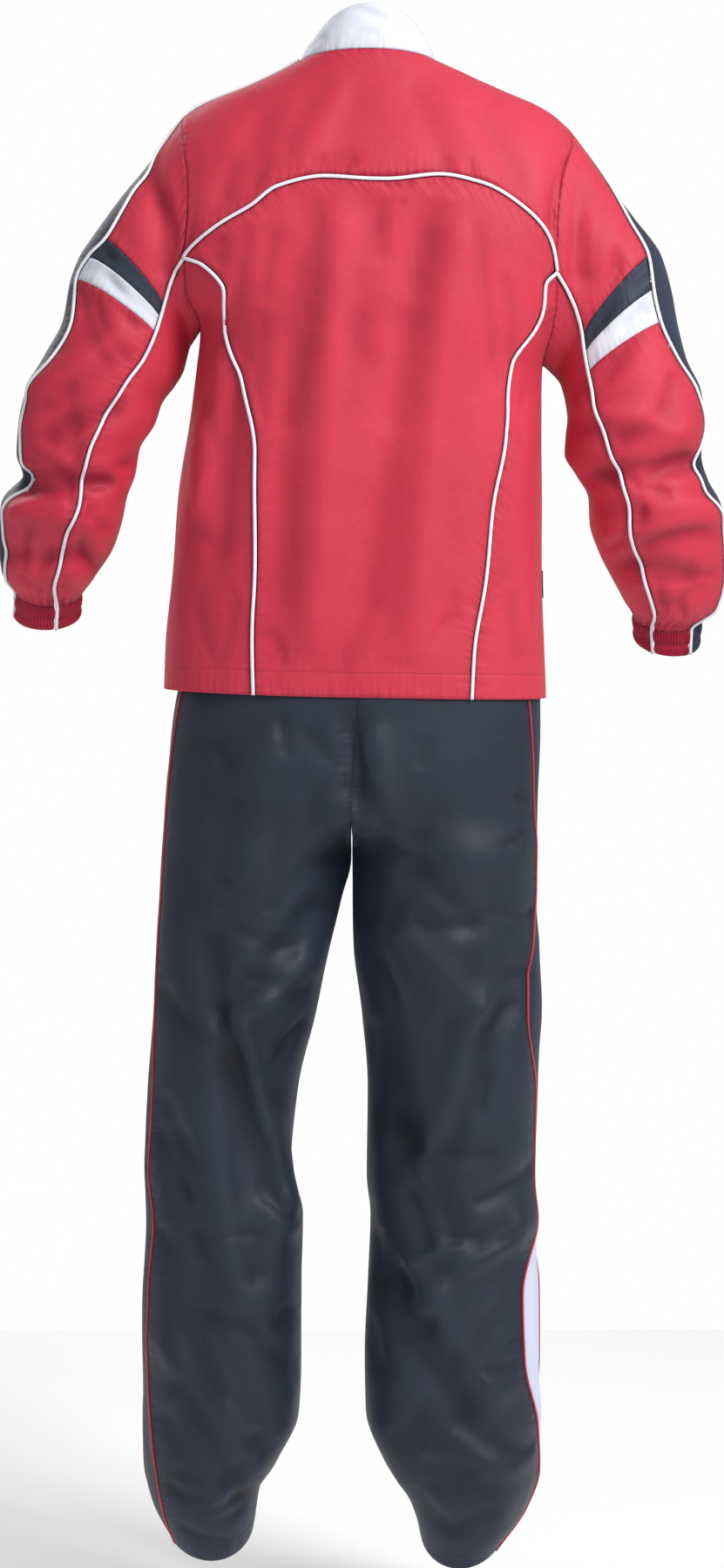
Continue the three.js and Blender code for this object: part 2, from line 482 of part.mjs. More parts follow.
// The cloth of a limb between two of its seams. Share runs from one to the other and at counts the stations.
function limbSurface(side, stations, from, to, folds, armhole) {
  const numbers = stations.map((_, i) => i);
  const known = new Map();
  const line = (share) => {
    if (!known.has(share)) {
      const turns = stations.map((s) => lerp(s[from], s[to], share));
      const points = stations.map((s, i) => s.point(turns[i]));
      const axes = AXES.map((axis) => curve(numbers, points.map((p) => p[axis])));
      const facing = curve(numbers, stations.map((s, i) => s.facing(turns[i])));
      known.set(share, { axes, facing });
    }
    return known.get(share);
  };
  const step = 0.01;
  const outwards = (point) => (share, at) => {
    const across = point(share + step, at).sub(point(share - step, at));
    const up = point(share, at - step).sub(point(share, at + step));
    return across.cross(up).normalize().multiplyScalar(side === "left" ? 1 : -1);
  };
  const bare = (share, at) => new THREE.Vector3(...line(share).axes.map((f) => f(at)));
  const bareOut = outwards(bare);
  const point = (share, at) => {
    const p = bare(share, at);
    return p.addScaledVector(bareOut(share, at), relief(folds, line(share).facing(at), p.x, p.z));
  };
  const outward = outwards(point);
  const rimOut = (share) => torsoOutward(armholePlace(side, lerp(stations[0][from], stations[0][to], share)));
  return (share, at) => ({
    p: point(share, at),
    n: armhole && at === 0 ? rimOut(share) : outward(share, at),
  });
}

// Draws a panel's edges in from its seams by a gap for each side, or a list with one for each step along it.
function trimmed(rows, { bottom = 0, right = 0, top = 0, left = 0 }) {
  const m = rows.length - 1;
  const n = rows[0].length - 1;
  const gap = (side, k) => (Array.isArray(side) ? side[k] : side);
  const loop = [];
  for (let i = 0; i < n; i++) loop.push({ j: 0, i, gap: gap(bottom, i) });
  for (let j = 0; j < m; j++) loop.push({ j, i: n, gap: gap(right, j) });
  for (let i = n; i > 0; i--) loop.push({ j: m, i, gap: gap(top, i - 1) });
  for (let j = m; j > 0; j--) loop.push({ j, i: 0, gap: gap(left, j - 1) });
  const node = (k) => rows[loop[k].j][loop[k].i];
  const moves = loop.map((_, k) => {
    const before = (k + loop.length - 1) % loop.length;
    const after = (k + 1) % loop.length;
    const inward = (from, to) => node(k).n.clone().cross(node(to).p.clone().sub(node(from).p)).normalize();
    const a = inward(before, k);
    const b = inward(k, after);
    const da = loop[before].gap;
    const db = loop[k].gap;
    const c = a.dot(b);
    if (c > 0.97) return a.add(b).normalize().multiplyScalar((da + db) / 2);
    return a.multiplyScalar((da - c * db) / (1 - c * c)).addScaledVector(b, (db - c * da) / (1 - c * c));
  });
  const out = rows.map((row) => row.map(({ p, n: normal }) => ({ p: p.clone(), n: normal })));
  loop.forEach(({ j, i }, k) => out[j][i].p.add(moves[k]));
  return out;
}

// A closed shell from an outer and an inner grid of points, open round its edges or joined side to side. Both
// faces of the wall split each square along the same diagonal, so a twisted square keeps its thickness.
function shell(outer, inner, joined = false) {
  const m = outer.length - 1;
  const n = outer[0].length;
  const points = [...outer.flat(), ...inner.flat()];
  const index = (layer, j, i) => (layer * (m + 1) + j) * n + (i % n);
  const faces = [];
  const quad = (a, b, c, d) => faces.push(a, b, c, a, c, d);
  const columns = joined ? n : n - 1;
  for (let i = 0; i < columns; i++) {
    for (let j = 0; j < m; j++) {
      quad(index(0, j, i), index(0, j, i + 1), index(0, j + 1, i + 1), index(0, j + 1, i));
      quad(index(1, j, i), index(1, j + 1, i), index(1, j + 1, i + 1), index(1, j, i + 1));
    }
    quad(index(1, 0, i), index(1, 0, i + 1), index(0, 0, i + 1), index(0, 0, i));
    quad(index(0, m, i), index(0, m, i + 1), index(1, m, i + 1), index(1, m, i));
  }
  for (let j = 0; j < m && !joined; j++) {
    quad(index(1, j, 0), index(0, j, 0), index(0, j + 1, 0), index(1, j + 1, 0));
    quad(index(0, j, n - 1), index(1, j, n - 1), index(1, j + 1, n - 1), index(0, j + 1, n - 1));
  }
  const geometry = new THREE.BufferGeometry();
  const positions = points.flatMap((p) => [p.x, p.y, p.z]);
  geometry.setAttribute("position", new THREE.Float32BufferAttribute(positions, 3));
  geometry.setIndex(faces);
  return geometry;
}

function wall(rows, gaps, thickness = WALL) {
  const outer = trimmed(rows, gaps);
  return shell(
    outer.map((row) => row.map(({ p }) => p)),
    outer.map((row) => row.map(({ p, n }) => p.clone().addScaledVector(n, -thickness))),
  );
}

// A cord lying in a seam along a line of nodes, cut short at its ends.
function cord(nodes, width, proud, cutStart, cutEnd) {
  const line = nodes.map(({ p, n }) => ({ p: p.clone(), n }));
  const cut = (end, next, amount) =>
    end.p.addScaledVector(next.p.clone().sub(end.p).normalize(), amount);
  cut(line[0], line[1], cutStart);
  cut(line.at(-1), line.at(-2), cutEnd);
  const half = width / 2;
  const profile = [
    [-half, -WALL],
    [-half, CORD_SHOULDER],
    [0, proud],
    [half, CORD_SHOULDER],
    [half, -WALL],
  ];
  const rings = line.map(({ p, n }, i) => {
    const along = line[Math.min(i + 1, line.length - 1)].p.clone().sub(line[Math.max(i - 1, 0)].p);
    const side = along.cross(n).normalize();
    return profile.map(([x, y]) => p.clone().addScaledVector(side, x).addScaledVector(n, y));
  });
  const sides = profile.length;
  const faces = [];
  for (let i = 0; i < rings.length - 1; i++)
    for (let k = 0; k < sides; k++) {
      const a = i * sides + k;
      const b = i * sides + ((k + 1) % sides);
      faces.push(a, b, b + sides, a, b + sides, a + sides);
    }
  const last = (rings.length - 1) * sides;
  for (let k = 1; k < sides - 1; k++) faces.push(0, k + 1, k, last, last + k, last + k + 1);
  const geometry = new THREE.BufferGeometry();
  const positions = rings.flat().flatMap((p) => [p.x, p.y, p.z]);
  geometry.setAttribute("position", new THREE.Float32BufferAttribute(positions, 3));
  geometry.setIndex(faces);
  return geometry;
}

const tracksuit = new THREE.Group();
tracksuit.name = "tracksuit";
function add(name, geometry, color, roughness = 0.55, metalness = 0, parent = tracksuit) {
  const mesh = new THREE.Mesh(geometry, new THREE.MeshStandardMaterial({ color, roughness, metalness }));
  mesh.name = name;
  parent.add(mesh);
  return mesh;
}

const PLAIN = SEAM / 2;
const PIPED = PIPING / 2 + CORD_GAP;
const SIDE_PIPED = SIDE_PIPING / 2 + CORD_GAP;
const ZIPPED = ZIP / 2 + SEAM;
const CORD_CUT = 3.5;
const SIDES = ["left", "right"];
const mirrored = (side, angle) => (side === "left" ? angle : Math.PI - angle);

// The seams of the jacket body that its panels and cords share, from the bottom up or from left to right.
const neckBack = (side) => [mirrored(side, radians(NECK_STRIPE[side].back)), 0];
const neckFront = (side) => [mirrored(side, radians(NECK_STRIPE[side].front)), 0];
const between = (from, to, t) => [lerp(from[0], to[0], t), lerp(from[1], to[1], t)];
const straight = (from, to, count) => spread(0, 1, count).map((t) => between(from, to, t));
function shoulderLine(side, turn, neck) {
  const start = armholePlace(side, turn);
  return [start, ...straight(start, neck, SHOULDER_ROWS).slice(1)];
}
const armholeLine = (side, from, to, count) => spread(from, to, count).map((t) => armholePlace(side, t));
const shoulderBack = {};
const shoulderFront = {};
const backSeam = {};
const sideSeam = {};
for (const side of SIDES) {
  const hole = ARMHOLE[side];
  const table = BACK_SEAM[side].map(backPlace).reverse();
  table[0] = [table[0][0], HEM_LEVEL];
  shoulderBack[side] = shoulderLine(side, hole.stripeBack, neckBack(side));
  shoulderFront[side] = shoulderLine(side, hole.stripeFront, neckFront(side));
  backSeam[side] = seamLine([...table, armholePlace(side, hole.seam)], BODY_ROWS);
  const bottom = armholePlace(side, 180);
  sideSeam[side] = [...straight([mirrored(side, 0), HEM_LEVEL], bottom, BODY_ROWS).slice(0, -1), bottom];
}
const yokeEnds = SIDES.map((side) => armholePlace(side, ARMHOLE[side].seam));
const yokeSeam = seamLine([yokeEnds[0], ...YOKE.map(backPlace), yokeEnds[1]], BACK_COLUMNS);
const zipLevels = [
  ...spread(HEM_LEVEL, CHEST_LEVEL, BODY_ROWS),
  ...spread(CHEST_LEVEL, 0, FRONT_ARM_ROWS + SHOULDER_ROWS).slice(1),
];
const middleOf = (level) => (torso.left(level) + torso.right(level)) / 2;
// The zip runs straight from hem to neck. Start is the angle of a section's middle in front.
const zipLine = (start) =>
  zipLevels.map((level) => {
    const half = (torso.left(level) - torso.right(level)) / 2;
    const x = lerp(middleOf(0), middleOf(HEM_LEVEL), level / HEM_LEVEL);
    return [start + Math.asin(power((x - middleOf(level)) / half, torso.square(level) / 2)), level];
  });

const bodyWall = (edges, gaps) => wall(patch(edges).map((row) => row.map(torsoNode)), gaps);

// The back of the jacket: a yoke over a middle and two side panels.
const yokeSide = (side) => [
  ...armholeLine(side, ARMHOLE[side].seam, ARMHOLE[side].stripeBack, YOKE_ROWS),
  ...shoulderBack[side].slice(1),
];
const yokeGaps = [...Array(YOKE_ROWS).fill(PLAIN), ...Array(SHOULDER_ROWS).fill(PIPED)];
add(
  "back_yoke",
  bodyWall(
    {
      bottom: yokeSeam,
      top: straight(neckBack("left"), neckBack("right"), BACK_COLUMNS),
      left: yokeSide("left"),
      right: yokeSide("right"),
    },
    { bottom: PIPED, top: PLAIN, left: yokeGaps, right: yokeGaps },
  ),
  RED,
);
add(
  "back_centre",
  bodyWall(
    {
      bottom: straight(backSeam.left[0], backSeam.right[0], BACK_COLUMNS),
      top: yokeSeam,
      left: backSeam.left,
      right: backSeam.right,
    },
    { top: PIPED, left: PIPED, right: PIPED },
  ),
  RED,
);
for (const side of SIDES) {
  const fromSide = {
    bottom: straight(sideSeam[side][0], backSeam[side][0], UNDER_COLUMNS),
    top: armholeLine(side, 180, ARMHOLE[side].seam, UNDER_COLUMNS),
  };
  const edges =
    side === "left"
      ? { ...fromSide, left: sideSeam.left, right: backSeam.left }
      : {
          bottom: fromSide.bottom.reverse(),
          top: fromSide.top.reverse(),
          left: backSeam.right,
          right: sideSeam.right,
        };
  const gaps = side === "left" ? { left: PLAIN, right: PIPED } : { left: PIPED, right: PLAIN };
  add(`back_side_${side}`, bodyWall(edges, { ...gaps, top: PLAIN }), RED);
}

// The two fronts, from the side seams to the zip.
const sideGaps = [
  ...Array(BODY_ROWS + FRONT_ARM_ROWS).fill(PLAIN),
  ...Array(SHOULDER_ROWS).fill(PIPED),
];
for (const side of SIDES) {
  const zipAngle = side === "left" ? -QUARTER : 3 * QUARTER;
  const outerEdge = [
    ...sideSeam[side],
    ...armholeLine(side, -180, ARMHOLE[side].stripeFront, FRONT_ARM_ROWS).slice(1),
    ...shoulderFront[side].slice(1),
  ];
  const zip = zipLine(zipAngle);
  const hem = straight(zip[0], outerEdge[0], FRONT_COLUMNS);
  const neck = straight(zip.at(-1), outerEdge.at(-1), FRONT_COLUMNS);
  const edges =
    side === "left"
      ? { bottom: hem, top: neck, left: zip, right: outerEdge }
      : { bottom: hem.reverse(), top: neck.reverse(), left: outerEdge, right: zip };
  const gaps = side === "left" ? { left: ZIPPED, right: sideGaps } : { left: sideGaps, right: ZIPPED };
  add(`front_${side}`, bodyWall(edges, { ...gaps, top: PLAIN }), RED);
}

// The stand collar, one curved band from one end of the zip round the back to the other.
function collarNode(angle, height) {
  const at = (a, v) => {
    const c = Math.cos(a);
    const s = Math.sin(a);
    const top = new THREE.Vector3(
      COLLAR_TOP.mid + COLLAR_TOP.half * c,
      (s > 0 ? COLLAR_TOP.back : COLLAR_TOP.front) * s,
      COLLAR_TOP.side + (s > 0 ? COLLAR_TOP.riseBack : COLLAR_TOP.riseFront) * Math.abs(s) ** 1.5,
    );
    const out = new THREE.Vector3(c, s, 0).multiplyScalar(COLLAR_TOP.bulge * Math.sin(Math.PI * v));
    return torsoPoint([a, 0]).lerp(top, v).add(out);
  };
  const step = 0.01;
  const across = at(angle + step, height).sub(at(angle - step, height));
  const up = at(angle, height + step).sub(at(angle, height - step));
  return { p: at(angle, height), n: across.cross(up).normalize() };
}
const neckSeams = [neckFront("left"), neckBack("left"), neckBack("right"), neckFront("right")];
const neckStops = [-QUARTER, ...neckSeams.map(([angle]) => angle), 3 * QUARTER];
const neckCounts = [FRONT_COLUMNS, STRIPE_COLUMNS, BACK_COLUMNS, STRIPE_COLUMNS, FRONT_COLUMNS];
const neckAngles = [
  -QUARTER,
  ...neckCounts.flatMap((count, i) => spread(neckStops[i], neckStops[i + 1], count).slice(1)),
];
const collarRows = spread(0, 1, COLLAR_ROWS).map((v) => neckAngles.map((angle) => collarNode(angle, v)));
add("collar", wall(collarRows, { bottom: PLAIN, left: ZIPPED, right: ZIPPED }), WHITE, 0.6);

// The closed zip from hem to collar top, its slider at the top, and the pull tab hanging on the slider.
const zipNodes = [
  ...zipLine(-QUARTER).map(torsoNode),
  ...spread(0, 1, COLLAR_ROWS)
    .slice(1)
    .map((v) => collarNode(-QUARTER, v)),
];
const ZIP_END_CUT = 1;
add("front_zip", cord(zipNodes, ZIP, ZIP_PROUD, 0, ZIP_END_CUT), NAVY, 0.5);

const wasm = await Module();
wasm.setup();
const box = (x, y, z) => {
  const size = [x, y, z].map(([low, high]) => high - low);
  const geometry = new THREE.BoxGeometry(...size);
  return geometry.translate(...[x, y, z].map(([low, high]) => (low + high) / 2));
};
const solid = (geometry) => {
  const bare = geometry.clone();
  bare.deleteAttribute("normal");
  bare.deleteAttribute("uv");
  const merged = BufferGeometryUtils.mergeVertices(bare);
  const vertProperties = new Float32Array(merged.attributes.position.array);
  const triVerts = new Uint32Array(merged.index.array);
  return new wasm.Manifold(new wasm.Mesh({ numProp: 3, vertProperties, triVerts }));
};
const toGeometry = (manifold) => {
  const mesh = manifold.getMesh();
  const geometry = new THREE.BufferGeometry();
  geometry.setAttribute("position", new THREE.BufferAttribute(new Float32Array(mesh.vertProperties), 3));
  geometry.setIndex(new THREE.BufferAttribute(new Uint32Array(mesh.triVerts), 1));
  return geometry;
};

// In the slider's own frame -Y is outwards and the pull tab turns about an axis along X.
const SLIDER_HEIGHT = 0.8; // its place up the collar
const SLIDER = { width: 8.5, length: 10, thickness: 2 };
const TAB = { width: 6.4, length: 23, thickness: 1.4, bar: 1.6, window: 3.4, windowWidth: 3.6 };
const BRIDGE = { width: 2.4, tunnel: 2.7, wall: 1 };
const sliderFace = ZIP_PROUD + SEAM + SLIDER.thickness;
const pivot = { y: -sliderFace - BRIDGE.tunnel / 2, z: 2.5 };
const sliderNode = collarNode(-QUARTER, SLIDER_HEIGHT);
const zipTop = new THREE.Group();
zipTop.position.copy(sliderNode.p);
zipTop.rotation.x = Math.atan2(-sliderNode.n.z, -sliderNode.n.y);
tracksuit.add(zipTop);

const reach = BRIDGE.tunnel / 2 + BRIDGE.wall;
const around = (size) => [-size / 2, size / 2];
const outer = pivot.y - reach;
const bridgeParts = [
  box(around(SLIDER.width), [-sliderFace, -ZIP_PROUD - SEAM], around(SLIDER.length)),
  box(around(BRIDGE.width), [outer, -sliderFace], [pivot.z - reach, pivot.z - reach + BRIDGE.wall]),
  box(around(BRIDGE.width), [outer, -sliderFace], [pivot.z + reach - BRIDGE.wall, pivot.z + reach]),
  box(around(BRIDGE.width), [outer, outer + BRIDGE.wall], [pivot.z - reach, pivot.z + reach]),
];
const slider = bridgeParts.map(solid).reduce((a, b) => a.add(b));
add("zip_slider", toGeometry(slider), STEEL, 0.35, 0.9, zipTop);

const tabOutline = new THREE.Shape();
const tabHalf = TAB.width / 2;
tabOutline.moveTo(-tabHalf, TAB.bar / 2);
tabOutline.lineTo(tabHalf, TAB.bar / 2);
tabOutline.lineTo(tabHalf, tabHalf - TAB.length);
tabOutline.absarc(0, tabHalf - TAB.length, tabHalf, 0, -Math.PI, true);
tabOutline.closePath();
const tabWindow = new THREE.Path();
tabWindow.moveTo(-TAB.windowWidth / 2, -TAB.bar / 2);
tabWindow.lineTo(-TAB.windowWidth / 2, -TAB.bar / 2 - TAB.window);
tabWindow.lineTo(TAB.windowWidth / 2, -TAB.bar / 2 - TAB.window);
tabWindow.lineTo(TAB.windowWidth / 2, -TAB.bar / 2);
tabWindow.closePath();
tabOutline.holes.push(tabWindow);
const tab = new THREE.ExtrudeGeometry(tabOutline, {
  depth: TAB.thickness,
  bevelEnabled: false,
  curveSegments: 6,
});
tab.translate(0, 0, -TAB.thickness / 2);
tab.rotateX(QUARTER);
tab.translate(0, pivot.y, pivot.z);
add("pull_tab", tab, STEEL, 0.35, 0.9, zipTop);

// The small folded label in the side seam, left bare.
const labelAngle = LABEL.width / torso.back(LABEL.level);
const labelLevels = spread(LABEL.level - LABEL.height / 2, LABEL.level + LABEL.height / 2, 2);
const labelRows = labelLevels.map((level) =>
  spread(Math.PI - labelAngle, Math.PI, 2).map((angle) => {
    const { p, n } = torsoNode([angle, level]);
    return { p: p.addScaledVector(n, SEAM + LABEL.thickness), n };
  }),
);
add("side_label", wall(labelRows, {}, LABEL.thickness), NAVY);

// The white cords in the jacket body's seams.
const YOKE_CORD_CUT = 7;
const cordAlong = (places, cutStart, cutEnd) => cord(places.map(torsoNode), PIPING, PROUD, cutStart, cutEnd);
add("yoke_piping", cordAlong(yokeSeam, YOKE_CORD_CUT, YOKE_CORD_CUT), WHITE, 0.5);
for (const side of SIDES) add(`back_piping_${side}`, cordAlong(backSeam[side], 0, CORD_CUT), WHITE, 0.5);

// The sleeves, each cut in lengthwise panels round a shoulder stripe that starts at the neck.
function limbRows(surface, columns, stations, side, push = () => 0) {
  return [...stations].reverse().map((at) => {
    const row = spread(0, 1, columns).map((share, i) => {
      const { p, n } = surface(share, at);
      return { p: p.addScaledVector(n, push(i, at)), n };
    });
    return side === "left" ? row : row.reverse();
  });
}
const limbGaps = (side, gaps) => (side === "left" ? gaps : { ...gaps, left: gaps.right, right: gaps.left });

for (const side of SIDES) {
  const stations = sleeveStations(side);
  const cuffEnd = stations.length - 1;
  const cuffTop = cuffEnd - 1;
  const cuffStations = spread(cuffTop, cuffEnd, 2);
  const along = (from, to) => spread(from, to, to - from);
  const surface = (from, to) => limbSurface(side, stations, from, to, JACKET_FOLDS, true);
  const stripe = surface("stripeFront", "stripeBack");
  const back = surface("stripeBack", "seam");
  const under = surface("seam", "under");
  const front = surface("under", "around");
  const sleeve = [0, cuffTop];
  const panel = (name, cloth, columns, [from, to], gaps, color) => {
    const rows = limbRows(cloth, columns, along(from, to), side);
    add(`${name}_${side}`, wall(rows, limbGaps(side, gaps)), color);
  };

  const hole = ARMHOLE[side];
  const shoulder = spread(0, 1, STRIPE_COLUMNS).map((share) => {
    const neck = [lerp(neckFront(side)[0], neckBack(side)[0], share), 0];
    return shoulderLine(side, lerp(hole.stripeFront, hole.stripeBack, share), neck).slice(1);
  });
  const shoulderRows = spread(0, SHOULDER_ROWS - 1, SHOULDER_ROWS - 1).map((j) => {
    const row = shoulder.map((line) => torsoNode(line[j]));
    return side === "left" ? row : row.reverse();
  });
  const stripeRows = [...limbRows(stripe, STRIPE_COLUMNS, along(...sleeve), side), ...shoulderRows];
  add(`stripe_${side}`, wall(stripeRows, { bottom: PLAIN, top: PLAIN, left: PIPED, right: PIPED }), NAVY);

  const backGaps = { bottom: PLAIN, top: PLAIN, left: PIPED, right: PIPED };
  panel("sleeve_back_upper", back, YOKE_ROWS, [0, BAND_DARK], backGaps, RED);
  panel("sleeve_band_dark", back, YOKE_ROWS, [BAND_DARK, BAND_WHITE], backGaps, BAND);
  panel("sleeve_band_white", back, YOKE_ROWS, [BAND_WHITE, BAND_END], backGaps, WHITE);
  panel("sleeve_back_lower", back, YOKE_ROWS, [BAND_END, cuffTop], backGaps, RED);
  panel("sleeve_under", under, UNDER_COLUMNS, sleeve, { ...backGaps, right: PLAIN }, RED);
  panel("sleeve_front", front, FRONT_ARM_ROWS, sleeve, { ...backGaps, left: PLAIN }, RED);

  const cuff = (name, cloth, columns, color) => {
    const flat = (i, at) => i === 0 || i === columns || at === cuffTop;
    const push = (i, at) => (flat(i, at) ? 0 : GATHER_DEPTH * (i % 2 === 0 ? -1 : 1));
    const rows = limbRows(cloth, columns, cuffStations, side, push);
    add(`${name}_${side}`, wall(rows, { top: SEAM, left: PIPED, right: PIPED }), color);
  };
  cuff("cuff_stripe", stripe, CUFF_COLUMNS.stripe, NAVY);
  cuff("cuff_back", back, CUFF_COLUMNS.back, RED);
  cuff("cuff_front", surface("seam", "around"), CUFF_COLUMNS.front, RED);

  const cordStations = [...along(...sleeve), ...cuffStations.slice(1)];
  const neckToRim = (line) => [...line].reverse().map(torsoNode);
  const downSleeve = (cloth, share, from) => cordStations.slice(from).map((at) => cloth(share, at));
  const stripeCord = (line, share) => [...neckToRim(line), ...downSleeve(stripe, share, 1)];
  const stripeCords = { front: stripeCord(shoulderFront[side], 0), back: stripeCord(shoulderBack[side], 1) };
  for (const [edge, nodes] of Object.entries(stripeCords))
    add(`stripe_piping_${edge}_${side}`, cord(nodes, PIPING, PROUD, SEAM, 0), WHITE, 0.5);
  add(`sleeve_piping_${side}`, cord(downSleeve(back, 1, 0), PIPING, PROUD, CORD_CUT, 0), WHITE, 0.5);
}

// The trousers: a back and a front for each leg, a side stripe between two red cords, and a waistband.
for (const side of SIDES) {
  const stations = legStations(side);
  const last = stations.length - 1;
  const firstRing = last + 1 - LEG[side].length;
  const rowsAt = (from, to) => {
    const split = Math.max(from, Math.min(firstRing - 1, to));
    const upper = spread(from, split, Math.max(split - from, 0));
    const lower = spread(split, to, (to - split) / LEG_STEP);
    return [...new Set([...(split > from ? upper : []), ...lower])];
  };
  const surface = (from, to) => limbSurface(side, stations, from, to, TROUSER_FOLDS, false);
  const back = surface("stripeBack", "inseamBack");
  const stripe = surface("stripeFront", "stripeBack");
  const front = surface("inseamFront", "stripeFront");
  const panel = (name, cloth, columns, from, to, gaps, color) => {
    const rows = limbRows(cloth, columns, rowsAt(from, to), side);
    add(`${name}_${side}`, wall(rows, limbGaps(side, gaps)), color, 0.4);
  };
  panel("leg_back", back, LEG_COLUMNS.back, 0, last, { top: PLAIN, left: SIDE_PIPED, right: PLAIN }, NAVY);
  panel("leg_front", front, LEG_COLUMNS.front, 0, last, { top: PLAIN, left: PLAIN, right: SIDE_PIPED }, NAVY);
  const stripeGaps = { top: PLAIN, left: SIDE_PIPED, right: SIDE_PIPED };
  if (side === "left") panel("leg_stripe", stripe, LEG_COLUMNS.stripe, 0, last, stripeGaps, NAVY);
  else {
    const turn = firstRing + WHITE_RING;
    panel("leg_stripe_upper", stripe, LEG_COLUMNS.stripe, 0, turn, { ...stripeGaps, bottom: PLAIN }, NAVY);
    panel("leg_stripe_white", stripe, LEG_COLUMNS.stripe, turn, last, stripeGaps, WHITE);
  }
  for (const [edge, share] of Object.entries({ front: 0, back: 1 })) {
    const nodes = rowsAt(0, last).map((at) => stripe(share, at));
    add(`leg_piping_${edge}_${side}`, cord(nodes, SIDE_PIPING, PROUD, SEAM, 0), CORD_RED, 0.5);
  }
}

const waistTop = HIPS[0].level;
const waistRings = [WAISTBAND_LEVEL + SEAM, waistTop].map((level) =>
  Array.from({ length: 2 * WAIST_GATHERS }, (_, i) => {
    const angle = (Math.PI * i) / WAIST_GATHERS;
    const p = sectionPoint(hips, [], [angle, level]);
    const out = new THREE.Vector3(Math.cos(angle), Math.sin(angle), 0);
    return { p: p.addScaledVector(out, GATHER_DEPTH * (i % 2 === 0 ? 1 : -1)), out };
  }),
);
add(
  "waistband",
  shell(
    waistRings.map((ring) => ring.map(({ p }) => p)),
    waistRings.map((ring) => ring.map(({ p, out }) => p.clone().addScaledVector(out, -WALL))),
    true,
  ),
  NAVY,
);

export default tracksuit;
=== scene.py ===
import math

import bpy
import numpy as np
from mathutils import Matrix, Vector, noise


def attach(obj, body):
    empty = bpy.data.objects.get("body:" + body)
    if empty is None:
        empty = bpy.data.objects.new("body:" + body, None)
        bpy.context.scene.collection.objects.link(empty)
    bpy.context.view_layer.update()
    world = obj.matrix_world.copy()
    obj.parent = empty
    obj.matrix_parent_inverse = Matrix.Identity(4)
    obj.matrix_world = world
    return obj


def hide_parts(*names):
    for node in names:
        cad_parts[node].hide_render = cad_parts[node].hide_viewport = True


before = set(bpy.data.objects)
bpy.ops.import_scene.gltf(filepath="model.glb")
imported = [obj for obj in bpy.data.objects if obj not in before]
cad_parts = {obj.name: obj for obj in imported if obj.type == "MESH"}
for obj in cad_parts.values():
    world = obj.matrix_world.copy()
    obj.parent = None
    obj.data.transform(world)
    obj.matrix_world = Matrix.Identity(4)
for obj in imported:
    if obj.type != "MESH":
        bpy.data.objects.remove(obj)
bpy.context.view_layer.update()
bpy.ops.object.select_all(action="DESELECT")

# The camera stands behind the suit at the height of its middle and looks a little down, as the picture does.
# Its long side is upright, so the sensor's 36 mm span the height of the frame.
CAMERA = {"place": (0, 4.3, -0.47), "aim": (0, 0, -0.771), "lens": 91.71}
camera = bpy.data.objects.new("camera", bpy.data.cameras.new("camera"))
bpy.context.collection.objects.link(camera)
camera.data.lens = CAMERA["lens"]
camera.data.clip_end = 50
camera.location = CAMERA["place"]
aim = Vector(CAMERA["aim"]) - camera.location
camera.rotation_euler = aim.to_track_quat("-Z", "Y").to_euler()
bpy.context.scene.camera = camera

# A plain pale studio: a white floor under the hem, an even white sky and three large soft lamps, the strongest
# one high on the right of the picture. The camera sees the sky as pure white, though it lights the suit less than
# that, and the Standard view keeps the reds and whites from turning pale.
WHITE = (1, 1, 1, 1)
FLOOR_LEVEL = -1.70
FLOOR_LOOK = {"Base Color": (0.9, 0.9, 0.9, 1), "Roughness": 0.9, "Emission Color": WHITE, "Emission Strength": 0.15}
SKY_STRENGTH = 0.45
bpy.ops.mesh.primitive_plane_add(size=3.2, location=(0, 0, FLOOR_LEVEL))
floor = bpy.context.object
floor.name = "floor"
bpy.ops.object.transform_apply(location=True)
pale = bpy.data.materials.new("pale_floor")
pale.use_nodes = True
for socket, value in FLOOR_LOOK.items():
    pale.node_tree.nodes["Principled BSDF"].inputs[socket].default_value = value
floor.data.materials.append(pale)
sky = bpy.data.worlds.new("sky")
sky.use_nodes = True
nodes, links = sky.node_tree.nodes, sky.node_tree.links
nodes["Background"].inputs["Color"].default_value = WHITE
nodes["Background"].inputs["Strength"].default_value = SKY_STRENGTH
backdrop = nodes.new("ShaderNodeBackground")
backdrop.inputs["Color"].default_value = WHITE
seen = nodes.new("ShaderNodeLightPath")
either = nodes.new("ShaderNodeMixShader")
links.new(seen.outputs["Is Camera Ray"], either.inputs[0])
links.new(nodes["Background"].outputs[0], either.inputs[1])
links.new(backdrop.outputs[0], either.inputs[2])
links.new(either.outputs[0], nodes["World Output"].inputs["Surface"])
bpy.context.scene.world = sky
bpy.context.scene.view_settings.view_transform = "Standard"
LAMPS_AIM = Vector((0, 0, -0.6))
LAMPS = {
    "key": {"place": (-2.0, 2.1, 1.4), "size": 1.2, "power": 110},
    "fill": {"place": (2.4, 3.2, 0.4), "size": 2.0, "power": 12},
    "front": {"place": (1.8, -2.6, 1.2), "size": 1.6, "power": 40},
}
for name, lamp in LAMPS.items():
    light = bpy.data.lights.new(name, "AREA")
    light.size = lamp["size"]
    light.energy = lamp["power"]
    holder = bpy.data.objects.new(name, light)
    holder.location = lamp["place"]
    towards = LAMPS_AIM - holder.location
    holder.rotation_euler = towards.to_track_quat("-Z", "Y").to_euler()
    bpy.context.collection.objects.link(holder)

